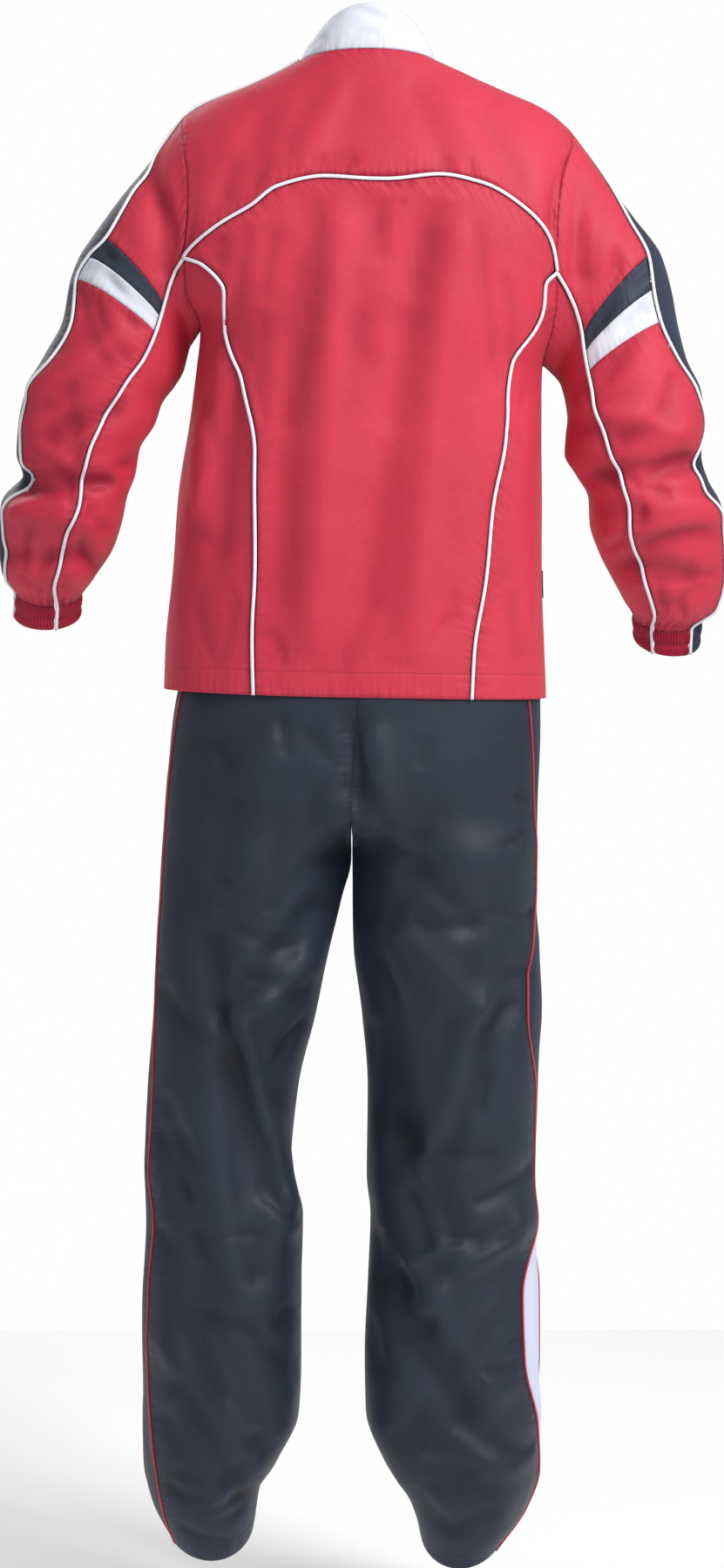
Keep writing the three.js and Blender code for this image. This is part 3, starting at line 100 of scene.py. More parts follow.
# The back of the jacket: a red yoke over a middle panel and two curved side panels, cut from thin woven nylon
# with a soft shine. Each is sewn to its neighbours along piped seams, which draw the cloth into small puckers.
MM = 0.001
TORSO_SIZES = ("left", "right", "back", "front", "square", "rise_back", "rise_front")
TORSO = {  # level: half widths to each side, depths, squareness of the section, rises of its back and front
    -672: (213, -198, 121, 117, 2.4, 0, 0),
    -620: (211, -196, 123, 119, 2.4, 0, 0),
    -540: (203, -193, 124, 120, 2.4, 0, 0),
    -460: (197, -193, 123, 118, 2.4, 0, 0),
    -380: (184, -192, 124, 120, 2.4, 0, 0),
    -325: (177, -193, 127, 123, 2.4, 0, -3),
    -285: (173, -216, 129, 124, 2.4, 0, -10),
    -245: (205, -238, 130, 123, 2.4, 0, -20),
    -200: (226, -250, 129, 119, 2.4, 0, -32),
    -150: (232, -254, 124, 111, 2.35, 0, -46),
    -110: (227, -248, 115, 102, 2.3, 0, -58),
    -72: (205, -221, 100, 91, 2.25, 0, -66),
    -49: (176, -193, 88, 83, 2.2, 0, -68),
    -26: (121, -141, 76, 75, 2.15, 0, -67),
    0: (66, -78, 62, 68, 2.1, 8, -64),
}
HEM_LEVEL = -672
HEM_TILT = {"from": -540, "rise": 5}
ARMHOLE = {
    "left": {"top": -56, "bottom": -285, "depth": 86, "stripe_front": -36, "stripe_back": 10, "seam": 111},
    "right": {"top": -72, "bottom": -322, "depth": 88, "stripe_front": -46, "stripe_back": -5, "seam": 104},
}
NECK_STRIPE = {"left": {"front": -27, "back": 9}, "right": {"front": -33, "back": -3}}
# Places along the seams, seen from behind: x and z.
YOKE = [
    (148, -178), (116, -160), (88, -140), (40, -130), (-25, -133),
    (-80, -128), (-124, -136), (-170, -162), (-195, -190),
]
BACK_SEAM = {
    "left": [
        (168, -219), (145, -243), (144, -286), (128, -340),
        (112, -415), (112, -515), (115, -610), (114, -672),
    ],
    "right": [
        (-192, -240), (-185, -280), (-153, -347), (-149, -405),
        (-137, -472), (-130, -547), (-118, -620), (-115, -672),
    ],
}
# Folds, as they lie seen from behind (side 1) or in front: x and z of both ends, width, height, sideways bow.
JACKET_FOLDS = [
    (1, 72, -215, 88, -560, 17, -7),
    (1, 25, -190, 52, -600, 19, 7),
    (1, -10, -160, 8, -330, 14, -5),
    (1, -62, -200, -4, -560, 20, -8),
    (1, -92, -190, -55, -600, 18, 6),
    (1, 150, -330, 172, -470, 18, 8),
    (1, 130, -300, 150, -520, 13, -7),
    (1, -165, -380, -172, -600, 16, 6),
    (1, 100, -70, 140, -150, 14, -6),
    (1, 20, -30, 55, -100, 13, 6),
    (1, -55, -40, -90, -110, 15, -5),
    (1, -130, -70, -165, -140, 13, -6),
    (1, 225, -110, 205, -220, 13, -8),
    (1, -215, -110, -228, -230, 13, -8),
    (1, 330, -392, 262, -372, 12, -8),
    (1, 345, -345, 268, -300, 14, 6),
    (1, 372, -442, 270, -448, 11, -10),
    (1, 368, -478, 285, -486, 14, 7),
    (1, 376, -522, 300, -528, 12, -6),
    (1, -352, -428, -250, -440, 12, -9),
    (1, -335, -392, -240, -370, 14, 7),
    (1, -375, -480, -270, -500, 15, 6),
    (1, -350, -545, -285, -535, 12, -8),
    (-1, 80, -200, 60, -600, 19, 6),
    (-1, 120, -240, 118, -560, 17, -7),
    (-1, -75, -210, -60, -590, 18, -6),
    (-1, -125, -260, -110, -600, 18, 6),
    (-1, 330, -410, 250, -430, 13, -9),
    (-1, 350, -480, 280, -500, 14, 6),
    (-1, -335, -400, -240, -430, 13, -9),
    (-1, -360, -480, -270, -505, 15, 6),
]
JACKET_CREASES = [
    (1, 49, -145, 57, -300, 16, -6, -3),
    (1, 57, -289, 83, -398, 17, -6, 3),
    (1, -81, -153, -54, -264, 24.5, -5.5, 3),
    (1, -54, -253, -31, -398, 26.5, -5.5, 3),
    (1, -20, -151, -22, -225, 11, -3.5, 6),
    (1, 121, -178, 131, -275, 12, -3.5, 2),
    (1, 90, -178, 103, -264, 12, -3.5, 3),
    (1, 103, -269, 105, -398, 14.5, -5.5, 3),
    (1, -117, -170, -145, -358, 8.5, -3, 3),
    (1, -145, -228, -153, -325, 8.5, -3, -5),
    (1, 144, -189, 150, -225, 10, -4, 2),
    (1, 186, -151, 185, -211, 6.5, -5.5, 0),
    (1, 213, -137, 189, -203, 8.5, -6, 2),
    (1, -210, -126, -199, -192, 7, -4, 3),
    (1, -198, -264, -194, -336, 10, -4, 0),
    (1, 8, -264, -25, -291, 14, -1.5, 5),
    (1, 22, -275, -22, -330, 14, -1.5, 6),
    (1, 169, -264, 168, -386, 17, -5, 2),
    (1, 131, -314, 115, -315, 5.5, -2, 1),
    (1, 58, -115, 36, -112, 5.5, -3, 2),
    (1, 41, -115, 3, -114, 5.5, -3, -2),
    (1, 14, -109, 8, -120, 5.5, -3, 0),
    (1, -25, -140, -53, -134, 5.5, -3, 2),
    (1, -36, -153, -42, -162, 5.5, -2, 0),
    (1, -89, -109, -81, -126, 10, -3.5, 0),
    (1, -114, -112, -111, -126, 6.5, -3, 0),
    (1, 130, -109, 147, -162, 11, -4, 3),
    (1, 97, -109, 116, -153, 10, -3.5, 3),
    (1, 170, -300, 150, -420, 10, -3.5, 8),
    (1, 190, -420, 158, -520, 10, -3.5, 10),
    (1, 160, -430, 175, -500, 8.5, 3, 6),
    (1, 135, -560, 152, -640, 7, -2, -4),
    (1, 175, -560, 150, -650, 8.5, -2, 6),
    (1, 100, -600, 85, -645, 8.5, -3, -5),
    (1, 80, -618, 105, -640, 7, -2, 3),
    (1, -20, -560, 20, -650, 11, -2, 8),
    (1, -100, -560, -70, -620, 8.5, -2, -5),
    (1, -105, -585, -80, -600, 6.5, -2, 2),
    (1, -60, -640, -10, -636, 6.5, -1, 2),
    (1, -160, -560, -170, -640, 8.5, -2, 4),
    (1, -175, -330, -168, -420, 8.5, -2, 3),
    (1, 300, -235, 262, -330, 10, -8, 8),
    (1, 285, -250, 245, -320, 7.5, -7, 6),
    (1, 270, -190, 232, -290, 7.5, -8, 8),
    (1, 345, -365, 300, -400, 10, -8, -6),
    (1, 310, -340, 300, -395, 10, -7, 5),
    (1, 355, -395, 290, -432, 10, -8, -8),
    (1, 330, -395, 282, -410, 7.5, -4.5, 4),
    (1, 366, -420, 300, -452, 7.5, -7, -6),
    (1, 262, -430, 235, -418, 6.5, -7, 4),
    (1, 370, -455, 262, -447, 6, -9, 2),
    (1, 378, -480, 310, -470, 7.5, 7, -4),
    (1, 350, -490, 362, -540, 6, -4.5, 4),
    (1, 318, -520, 352, -548, 6.5, -7, 4),
    (1, 300, -505, 280, -545, 6.5, -7, 5),
    (1, 330, -545, 312, -566, 6, -4.5, 3),
    (1, 370, -540, 340, -565, 6, -4.5, 3),
    (1, 290, -470, 270, -500, 6.5, -7, 3),
    (1, -300, -240, -262, -330, 10, -8, -8),
    (1, -285, -270, -250, -345, 7.5, -7, -6),
    (1, -270, -200, -240, -300, 7.5, -8, -8),
    (1, -330, -330, -300, -400, 10, -7, -6),
    (1, -345, -385, -262, -408, 10, -8, 6),
    (1, -352, -420, -300, -452, 9, -8, 6),
    (1, -250, -445, -330, -462, 7.5, -8, -4),
    (1, -380, -470, -300, -478, 9, 7, 4),
    (1, -378, -500, -290, -520, 7.5, -8, 5),
    (1, -300, -470, -262, -520, 6.5, -7, -5),
    (1, -385, -545, -300, -552, 7.5, -9, -4),
    (1, -375, -560, -330, -585, 6.5, -7, 3),
    (1, -300, -560, -330, -588, 6.5, -7, -3),
    (1, -350, -560, -345, -595, 6, -4.5, 3),
    (-1, 150, -120, 90, -300, 11, -3, -8),
    (-1, -150, -130, -95, -320, 11, -3, 8),
    (-1, 60, -260, 70, -420, 11, 2, 6),
    (-1, -60, -270, -75, -450, 11, 2, -6),
    (-1, 160, -330, 130, -450, 10, -3.5, 8),
    (-1, -165, -340, -130, -470, 10, -3.5, -8),
    (-1, 185, -440, 150, -560, 10, -3, 8),
    (-1, -178, -450, -150, -580, 10, -3, -8),
    (-1, 210, -130, 190, -240, 8.5, -3.5, 6),
    (-1, -225, -140, -205, -250, 7.5, -8, -6),
    (-1, 295, -240, 250, -330, 10, -8, 8),
    (-1, -300, -250, -255, -340, 10, -8, -8),
    (-1, 350, -390, 285, -425, 10, -8, -8),
    (-1, -345, -400, -280, -430, 10, -8, 8),
    (-1, 370, -450, 270, -446, 6.5, -9, 3),
    (-1, -360, -455, -262, -462, 6.5, -9, 3),
    (-1, 375, -490, 300, -515, 9, -7, 5),
    (-1, -380, -500, -290, -530, 9, -7, -5),
    (-1, 362, -530, 312, -552, 6.5, -7, 3),
    (-1, -378, -560, -310, -578, 6.5, -8, 3),
]
CLOTH_THICKNESS = 0.0007
PLAIN_GAP = 0.15
PIPED_GAP = 2.45


def gather(values, rows):
    return values[rows] if values.ndim == 1 else values[rows, np.arange(len(rows))]


def smooth_line(xs, ys, x):
    """A smooth curve through ys at each of xs that never overshoots, straight on past its ends."""
    xs, ys, x = np.asarray(xs, float), np.asarray(ys, float), np.asarray(x, float)
    secant = np.diff(ys, axis=0) / np.diff(xs).reshape(-1, *[1] * (ys.ndim - 1))
    before, after = secant[:-1], secant[1:]
    same_way = before * after > 0
    middle = np.where(same_way, 2 * before * after / np.where(same_way, before + after, 1), 0)
    slopes = np.concatenate([secant[:1], middle, secant[-1:]])
    held = np.clip(x, xs[0], xs[-1])
    k = np.clip(np.searchsorted(xs, held, side="right") - 1, 0, len(xs) - 2)
    step, t = xs[k + 1] - xs[k], (held - xs[k]) / (xs[k + 1] - xs[k])
    past = x - held
    if ys.ndim == 3:
        step, t, past = step[:, None], t[:, None], past[:, None]
    start = gather(ys, k) * (1 + 2 * t) + gather(slopes, k) * step * t
    end = gather(ys, k + 1) * (3 - 2 * t) - gather(slopes, k + 1) * step * (1 - t)
    slope = np.where(past > 0, gather(slopes, k + 1), gather(slopes, k))
    return start * (1 - t) ** 2 + end * t**2 + past * slope


def sections(table, names):
    levels = sorted(table)
    columns = np.array([table[level] for level in levels], float).T
    return {name: (lambda level, ys=ys: smooth_line(levels, ys, level)) for name, ys in zip(names, columns)}


torso = sections(TORSO, TORSO_SIZES)
torso["tilt"] = lambda level: HEM_TILT["rise"] * np.clip(
    (level - HEM_TILT["from"]) / (HEM_LEVEL - HEM_TILT["from"]), 0, 1
)


def signed_power(value, exponent):
    return np.sign(value) * np.abs(value) ** exponent


def smooth_step(value, low, high):
    t = np.clip((value - low) / (high - low), 0, 1)
    return t * t * (3 - 2 * t)


def bell(value, width):
    return np.exp(-((value / width) ** 2))


def arch(value):
    return np.sin(math.pi * np.clip(value, 0, 1))


def bare_section(shape, angle, level):
    """Points of level sections in millimetres: angle 0 is the wearer's left, a quarter turn is the back."""
    c, s = np.cos(angle), np.sin(angle)
    e = 2 / shape["square"](level)
    half = (shape["left"](level) - shape["right"](level)) / 2
    depth = np.where(s > 0, shape["back"](level), shape["front"](level))
    rise = 0
    if "rise_back" in shape:
        rise = np.where(s > 0, shape["rise_back"](level), shape["rise_front"](level))
    tilt = shape["tilt"](level) if "tilt" in shape else 0
    x = (shape["left"](level) + shape["right"](level)) / 2 + half * signed_power(c, e)
    z = level + rise * np.abs(s) ** 1.5 + tilt * c
    return np.stack([x, depth * signed_power(s, e), z], -1)


def fold_height(folds, facing, points):
    """How far the folds move the cloth outwards. One with a bow is a crease: sharper, and it fades at its ends."""
    x, z = points[..., 0], points[..., 2]
    height = np.zeros(x.shape)
    for side, x1, z1, x2, z2, width, rise, *bow in folds:
        dx, dz = x2 - x1, z2 - z1
        long = math.hypot(dx, dz)
        t = np.clip(((x - x1) * dx + (z - z1) * dz) / long**2, 0, 1)
        ox, oz = x - x1 - t * dx, z - z1 - t * dz
        if bow:
            bend = bow[0] * 4 * t * (1 - t)
            off = np.hypot(ox + bend * dz / long, oz - bend * dx / long) / width
            added = rise * np.exp(1 - np.sqrt(off**2 * 3 + 1)) * (1 - (2 * t - 1) ** 4)
        else:
            added = rise * bell(np.hypot(ox, oz), width)
        height += np.where(np.sign(facing) == side, added, 0)
    return height * smooth_step(np.abs(facing), 0.08, 0.45)


def crumple(points, scale, stretch, seed):
    """Smooth noise between -1 and 1 whose waves are scale millimetres wide, and stretched along each axis."""
    spots = points / (scale * np.array(stretch)) + np.array(seed)
    flat = spots.reshape(-1, 3)
    return np.array([noise.noise(spot) for spot in flat.tolist()]).reshape(points.shape[:-1])


def armhole_place(side, turn):
    """Angle and level of the place at a turn round an armhole, in degrees from its top towards the back."""
    hole = ARMHOLE[side]
    turn = np.radians(turn)
    level = hole["bottom"] + (hole["top"] - hole["bottom"]) * (1 + np.cos(turn)) / 2
    y = hole["depth"] * np.sin(turn)
    depth = np.where(y > 0, torso["back"](level), torso["front"](level))
    angle = np.sign(y) * np.arcsin((np.abs(y) / depth) ** (torso["square"](level) / 2))
    return np.stack([angle if side == "left" else math.pi - angle, level], -1)


def back_place(x, z):
    """Angle and level of the place on the jacket's back that lies at x and z."""
    level = float(z)
    for _ in range(4):
        half = (torso["left"](level) - torso["right"](level)) / 2
        middle = (torso["left"](level) + torso["right"](level)) / 2
        share = np.clip((x - middle) / half, -1, 1)
        angle = np.arccos(signed_power(share, torso["square"](level) / 2))
        level += z - bare_section(torso, angle, level)[2]
    return np.array([angle, max(level, HEM_LEVEL)])


def surface_of(places):
    """Points in millimetres on the jacket with its large folds, at places given by angle and level."""
    points = bare_section(torso, places[..., 0], places[..., 1])
    c, s = np.cos(places[..., 0]), np.sin(places[..., 0])
    e = 2 / torso["square"](places[..., 1])
    half = (torso["left"](places[..., 1]) - torso["right"](places[..., 1])) / 2
    depth = np.where(s > 0, torso["back"](places[..., 1]), torso["front"](places[..., 1]))
    out = np.stack([signed_power(c, 2 - e) / half, signed_power(s, 2 - e) / depth, 0 * s], -1)
    out /= np.linalg.norm(out, axis=-1, keepdims=True)
    return points + out * fold_height(JACKET_FOLDS, s, points)[..., None]


def lengths_along(points):
    return np.concatenate([[0], np.cumsum(np.linalg.norm(np.diff(points, axis=0), axis=1))])


def resampled(values, lengths, at):
    return np.stack([np.interp(at, lengths, values[:, k]) for k in range(3)], -1)


def seam_line(places, count):
    """Places spaced evenly along a smooth line through the given places on the jacket."""
    places = np.array(places)
    lengths = lengths_along(surface_of(places))
    at = np.linspace(0, lengths[-1], count + 1)
    line = np.stack([smooth_line(lengths, places[:, k], at) for k in (0, 1)], -1)
    line[0], line[-1] = places[0], places[-1]
    return line


def straight(start, end, count):
    return np.linspace(np.asarray(start, float), np.asarray(end, float), count + 1)


def joined(*lines):
    return np.concatenate([lines[0], *[line[1:] for line in lines[1:]]])


def patch(bottom, top, left, right):
    """Fills four edges with places: rows from the bottom up, columns from left to right."""
    u = np.linspace(0, 1, len(bottom))[None, :, None]
    v = np.linspace(0, 1, len(left))[:, None, None]
    across = left[:, None] * (1 - u) + right[:, None] * u
    up = bottom[None] * (1 - v) + top[None] * v
    low = bottom[0] * (1 - u) + bottom[-1] * u
    high = top[0] * (1 - u) + top[-1] * u
    return across + up - low * (1 - v) - high * v


def outward(grid):
    across = np.gradient(grid, axis=1)
    up = np.gradient(grid, axis=0)
    out = np.cross(across, up)
    return out / np.maximum(np.linalg.norm(out, axis=-1, keepdims=True), 1e-9)


def run(grid, axis):
    """Length along the grid from its first row or column."""
    steps = np.linalg.norm(np.diff(grid, axis=axis), axis=-1)
    start = np.zeros_like(np.take(steps, [0], axis))
    return np.concatenate([start, np.cumsum(steps, axis)], axis)


def edge_distance(grid):
    """How far each point of a panel lies from the nearest of its four edges."""
    across, up = run(grid, 1), run(grid, 0)
    return np.minimum(np.minimum(across, across[:, -1:] - across), np.minimum(up, up[-1:] - up))


def drawn_in(grid, gaps):
    """Draws a panel's edges in from its seams. A gap is a number or a list with one for each step along it."""
    out = outward(grid)
    across, up = run(grid, 1), run(grid, 0)
    reach = {
        "left": across,
        "right": across[:, -1:] - across,
        "bottom": up,
        "top": up[-1:] - up,
    }
    moved = grid.copy()
    for edge, gap in gaps.items():
        upright = edge in ("left", "right")
        picked = {"left": np.s_[:, :1], "right": np.s_[:, -1:], "bottom": np.s_[:1], "top": np.s_[-1:]}[edge]
        along = np.gradient(grid[picked], axis=0 if upright else 1)
        inward = np.cross(out[picked], along)
        inward /= np.maximum(np.linalg.norm(inward, axis=-1, keepdims=True), 1e-9)
        if edge in ("left", "top"):
            inward = -inward
        size = np.reshape(gap, (-1, 1) if upright else (1, -1)) if np.ndim(gap) else gap
        moved += inward * (size * np.clip(1 - reach[edge] / (5 * size), 0, 1))[..., None]
    return moved


def grid_mesh(name, grid, faces, u, v, material):
    """A mesh on a grid of points in millimetres, with the cloth's own metres as its UV map."""
    mesh = bpy.data.meshes.new(name)
    mesh.from_pydata((grid.reshape(-1, 3) * MM).tolist(), [], faces.tolist())
    layer = mesh.uv_layers.new(name="cloth")
    layer.data.foreach_set("uv", np.stack([u, v], -1).reshape(-1, 2)[faces.reshape(-1)].ravel())
    mesh.shade_smooth()
    mesh.materials.append(material)
    piece = bpy.data.objects.new(name, mesh)
    bpy.context.collection.objects.link(piece)
    return piece


def softened(values, passes):
    """Values on a grid, averaged with their neighbours along each direction in turn."""
    for axis, count in enumerate(passes):
        last = values.shape[axis] - 1
        for _ in range(count):
            before = values.take([0, *range(last)], axis)
            after = values.take([*range(1, last + 1), last], axis)
            values = (before + 2 * values + after) / 4
    return values


# Painted shade: the cloth's colour turns darker in the dips between its folds and along its seams, where shade falls.
PAINTED_SHADE_REACH = 14.0  # how wide a dip between folds is that takes painted shade
PAINTED_SHADE_DEPTH = 3.4  # how deep a dip must be to take the painted shade colour wholly
PAINTED_SHADE_MOST = 0.8  # and how much of the painted shade colour a dip takes at most
NO_SEAM = 900.0  # a distance for panels that have no such seam


def painted_crease_shade_amounts(grid):
    """How much painted shade each point of a panel takes for lying deep between the folds beside it, from 0 up to the
    most given above.
    """
    steps = [max(run(grid, axis).max() / max(grid.shape[axis] - 1, 1), 1.0) for axis in (0, 1)]
    passes = [min(60, max(2, round(2 * (PAINTED_SHADE_REACH / step) ** 2))) for step in steps]
    height = ((grid - softened(grid, passes)) * outward(grid)).sum(axis=-1)
    height = height - softened(height, passes)
    return softened(np.clip(-height / PAINTED_SHADE_DEPTH, 0, PAINTED_SHADE_MOST), (3, 3))


def build_sheet(
    name, grid, gaps, material, slot_name, held="draped", rests_on=(), hem=None, thick=CLOTH_THICKNESS
):
    """A panel of cloth from a grid of points in millimetres, with its seams' distances kept for the puckers and for
    painted shade along the seams, and the painted shade of its crease dips.
    """
    grid = drawn_in(grid, gaps)
    rows, columns = grid.shape[:2]
    across, up = run(grid, 1), run(grid, 0)
    sides = np.full((rows, columns), NO_SEAM)
    ends = sides.copy()
    open_edge = sides.copy()
    for edge, far in (("left", across), ("right", across[:, -1:] - across)):
        if edge in gaps:
            sides = np.minimum(sides, far)
    for edge, far in (("bottom", up), ("top", up[-1:] - up)):
        if edge in gaps:
            ends = np.minimum(ends, far)
        if edge == hem:
            open_edge = np.minimum(open_edge, far)
    index = np.arange(rows * columns).reshape(rows, columns)
    corners = np.stack([index[:-1, :-1], index[:-1, 1:], index[1:, 1:], index[1:, :-1]], -1)
    u = (across - across[:, -1:] / 2) * MM
    v = np.broadcast_to(up.mean(axis=1, keepdims=True), up.shape) * MM
    piece = grid_mesh(f"{name}_cloth", grid, corners.reshape(-1, 4), u, v, material)
    seams = piece.data.attributes.new("seams", "FLOAT_VECTOR", "POINT")
    seams.data.foreach_set("vector", (np.stack([sides, ends, open_edge], -1) * MM).ravel())
    # Painted shade: how much each point's colour darkens for lying deep between folds.
    painted_crease_shade = piece.data.attributes.new("painted_crease_shade", "FLOAT", "POINT")
    painted_crease_shade.data.foreach_set("value", painted_crease_shade_amounts(grid).ravel())
    wall = piece.modifiers.new("thickness", "SOLIDIFY")
    wall.thickness = thick
    wall.offset = -1
    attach(piece, "garment")
    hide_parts(name)
    cross = np.cross(grid[1:, 1:] - grid[:-1, :-1], grid[1:, :-1] - grid[:-1, 1:])
    return piece


class Wire:
    """A socket of a material's nodes, so that its maths can be written as plain expressions."""

    def __init__(self, tree, socket):
        self.tree = tree
        self.socket = socket

    def node(self, kind, settings, inputs, output=0):
        made = self.tree.nodes.new("ShaderNode" + kind)
        for name, value in settings.items():
            setattr(made, name, value)
        plug(made, inputs)
        return Wire(self.tree, made.outputs[output])

    def math(self, operation, *values):
        return self.node("Math", {"operation": operation}, dict(enumerate(values)))

    def __add__(self, other):
        return self.math("ADD", self, other)

    def __sub__(self, other):
        return self.math("SUBTRACT", self, other)

    def __mul__(self, other):
        return self.math("MULTIPLY", self, other)

    def __abs__(self):
        return self.math("ABSOLUTE", self)

    def sine(self):
        return self.math("SINE", self)

    def fading(self, rate):
        """From 1 where the wire is 0 towards 0, faster with a higher rate."""
        return self.math("EXPONENT", self * -rate)

    def noise(self, scale, **settings):
        return self.node("TexNoise", {}, {"Vector": self, "Scale": scale, **settings})

    def mixed(self, start, end):
        return self.node("Mix", {"data_type": "RGBA"}, {"Factor": self, 6: start, 7: end}, 2)

    def between(self, deep, light):
        """A colour from deep to light, both written as six hex digits."""
        return self.mixed(linear(deep), linear(light))

    def bump(self, strength, distance):
        return self.node("Bump", {}, {"Strength": strength, "Distance": distance, "Height": self})


def plug(node, inputs):
    """Sets a node's inputs, each to a value or to what a wire carries."""
    for name, value in inputs.items():
        if isinstance(value, Wire):
            value.tree.links.new(value.socket, node.inputs[name])
        else:
            node.inputs[name].default_value = value


def linear(text):
    """A colour written as six hex digits, as the shader wants it."""
    parts = [int(text[k : k + 2], 16) / 255 for k in (0, 2, 4)]
    return (*[c / 12.92 if c <= 0.04045 else ((c + 0.055) / 1.055) ** 2.4 for c in parts], 1.0)


def new_material(name):
    """A new material, the places on its object and its shader."""
    material = bpy.data.materials.new(name)
    material.use_nodes = True
    place = Wire(material.node_tree, None).node("TexCoord", {}, {}, "Object")
    return material, place, material.node_tree.nodes["Principled BSDF"]


def cloth_directions(place):
    """Metres across and along the cloth, from its UV map."""
    cloth = place.node("UVMap", {"uv_map": "cloth"}, {})
    return [place.node("SeparateXYZ", {}, {"Vector": cloth}, k) for k in range(2)]


# Metres: the weave's threads, and how high each kind of unevenness rises from the cloth.
THREAD = 0.0009
RELIEF = {"weave": 0.00001, "wrinkles": 0.0012, "puckers": 0.004, "hem_puckers": 0.003, "stitching": 0.0007}
PUCKER = (22, 120)  # waves to a metre, along and across a pucker


def woven_nylon(name, light, deep, painted_shade_colour, roughness, pucker=1.0, crease=1.0, hem_line=None):
    """Thin woven nylon: fine weave, a soft shine that breaks up, tiny creases, puckers along its seams, and painted
    shade that darkens its colour in the dips between folds and along its seams.
    """
    material, place, shader = new_material(name)
    across, along = cloth_directions(place)
    seams = place.node("Attribute", {"attribute_name": "seams"}, {}, "Vector")
    side, end, hem = (place.node("SeparateXYZ", {}, {"Vector": seams}, k) for k in range(3))
    painted_crease_shade = place.node("Attribute", {"attribute_name": "painted_crease_shade"}, {}, "Fac")

    slow = place.noise(6.0, Detail=2.0)
    tint = slow * 0.75 + place.noise(160.0, Detail=2.0) * 0.25
    shade = place.node("MapRange", {}, {"Value": tint, "From Min": 0.35, "From Max": 0.65})
    # Painted shade: darker in the dips between folds and within a few millimetres of each seam, mixed towards the
    # painted shade colour.
    painted_crease_and_seam_shade = painted_crease_shade + place.math("MINIMUM", side, end).fading(300) * 0.4

    weave = (across * (2 * math.pi / THREAD)).sine() * (along * (2 * math.pi / THREAD)).sine()
    small = place.noise(26.0, Detail=2.0, Distortion=0.4)
    beside = place.node("CombineXYZ", {}, {"X": across * PUCKER[0], "Y": along * PUCKER[1], "Z": 0.0})
    below = place.node("CombineXYZ", {}, {"X": across * PUCKER[1], "Y": along * PUCKER[0], "Z": 3.0})
    end_puckers = below.noise(1.0, Detail=1.5) - 0.5
    puckers = (beside.noise(1.0, Detail=1.5) - 0.5) * side.fading(90) + end_puckers * end.fading(90)
    height = weave * RELIEF["weave"] + small * (RELIEF["wrinkles"] * crease) + puckers * (RELIEF["puckers"] * pucker)
    if hem_line:
        height = height + abs(hem - hem_line).fading(1400) * -RELIEF["stitching"]
        height = height + end_puckers * hem.fading(45) * (RELIEF["hem_puckers"] * pucker)
    looks = {
        "Base Color": painted_crease_and_seam_shade.mixed(shade.between(deep, light), linear(painted_shade_colour)),
        "Roughness": slow * 0.1 + (roughness - 0.05),
        "Sheen Weight": 0.05,
        "Sheen Roughness": 0.45,
        "Specular IOR Level": 0.35,
        "Normal": height.bump(1.0, 1.0),
    }
    plug(shader, looks)
    return material


DEEPEST = 6.5  # creases that cross don't add up to a pit
SEAM_SHARE = 0.12  # how much of its creases the cloth keeps at a seam, which holds it flatter
SEAM_REACH = 14  # and how far from the seam it has all of them
CRUMPLES = [(2.0, 60, (1, 1, 2.4), (3.1, 0.4, 7.7)), (0.5, 24, (1, 1, 2), (11.3, 5.2, 0.9))]


def crease_height(points, facing, creases, strength):
    height = DEEPEST * np.tanh(fold_height(creases, facing, points) / DEEPEST)
    for rise, *waves in CRUMPLES:
        height += strength * rise * crumple(points, *waves)
    return height


def creased(grid, facing, folds, creases, strength):
    """Large folds as the solids have them, then the listed creases and a little crumpling on top."""
    if folds:
        grid = grid + outward(grid) * fold_height(folds, facing, grid)[..., None]
    height = crease_height(grid, facing, creases, strength)
    share = SEAM_SHARE + (1 - SEAM_SHARE) * smooth_step(edge_distance(grid), 0, SEAM_REACH)
    return grid + outward(grid) * (height * share)[..., None]


# The third colour of this and every woven nylon below is the painted shade colour of its crease dips and seams.
red_nylon = woven_nylon("red_nylon", "cd354c", "bf2a43", "86062a", 0.62)
hemmed_red_nylon = woven_nylon("hemmed_red_nylon", "cd354c", "bf2a43", "86062a", 0.62, hem_line=0.026)
SIDES = ("left", "right")
SHOULDER_ROWS = 3
FRONT_ARM_ROWS = 6
SMOOTHED = {"reach": 16, "passes": (14, 6)}  # millimetres from the seams, and how often along each direction


def mirrored(side, angle):
    return angle if side == "left" else math.pi - angle


def neck_place(side, edge):
    return np.array([mirrored(side, math.radians(NECK_STRIPE[side][edge])), 0.0])


def armhole_line(side, start, end, count):
    return armhole_place(side, np.linspace(start, end, count + 1))


def shoulder_line(side, turn, neck, count):
    return straight(armhole_place(side, turn), neck, count)


def torso_panel(name, edges, gaps, material, strength=1.0, hem=None):
    """A panel of the jacket's body between four edges, its cloth evened out inside its seams and then creased."""
    places = patch(**edges)
    grid = surface_of(places)
    inside = smooth_step(edge_distance(grid), 0, SMOOTHED["reach"])[..., None]
    grid = grid + (softened(grid, SMOOTHED["passes"]) - grid) * inside
    grid = creased(grid, np.sin(places[..., 0]), [], JACKET_CREASES, strength)
    return build_sheet(name, grid, gaps, material, "red_cloth", rests_on=["collar"], hem=hem)


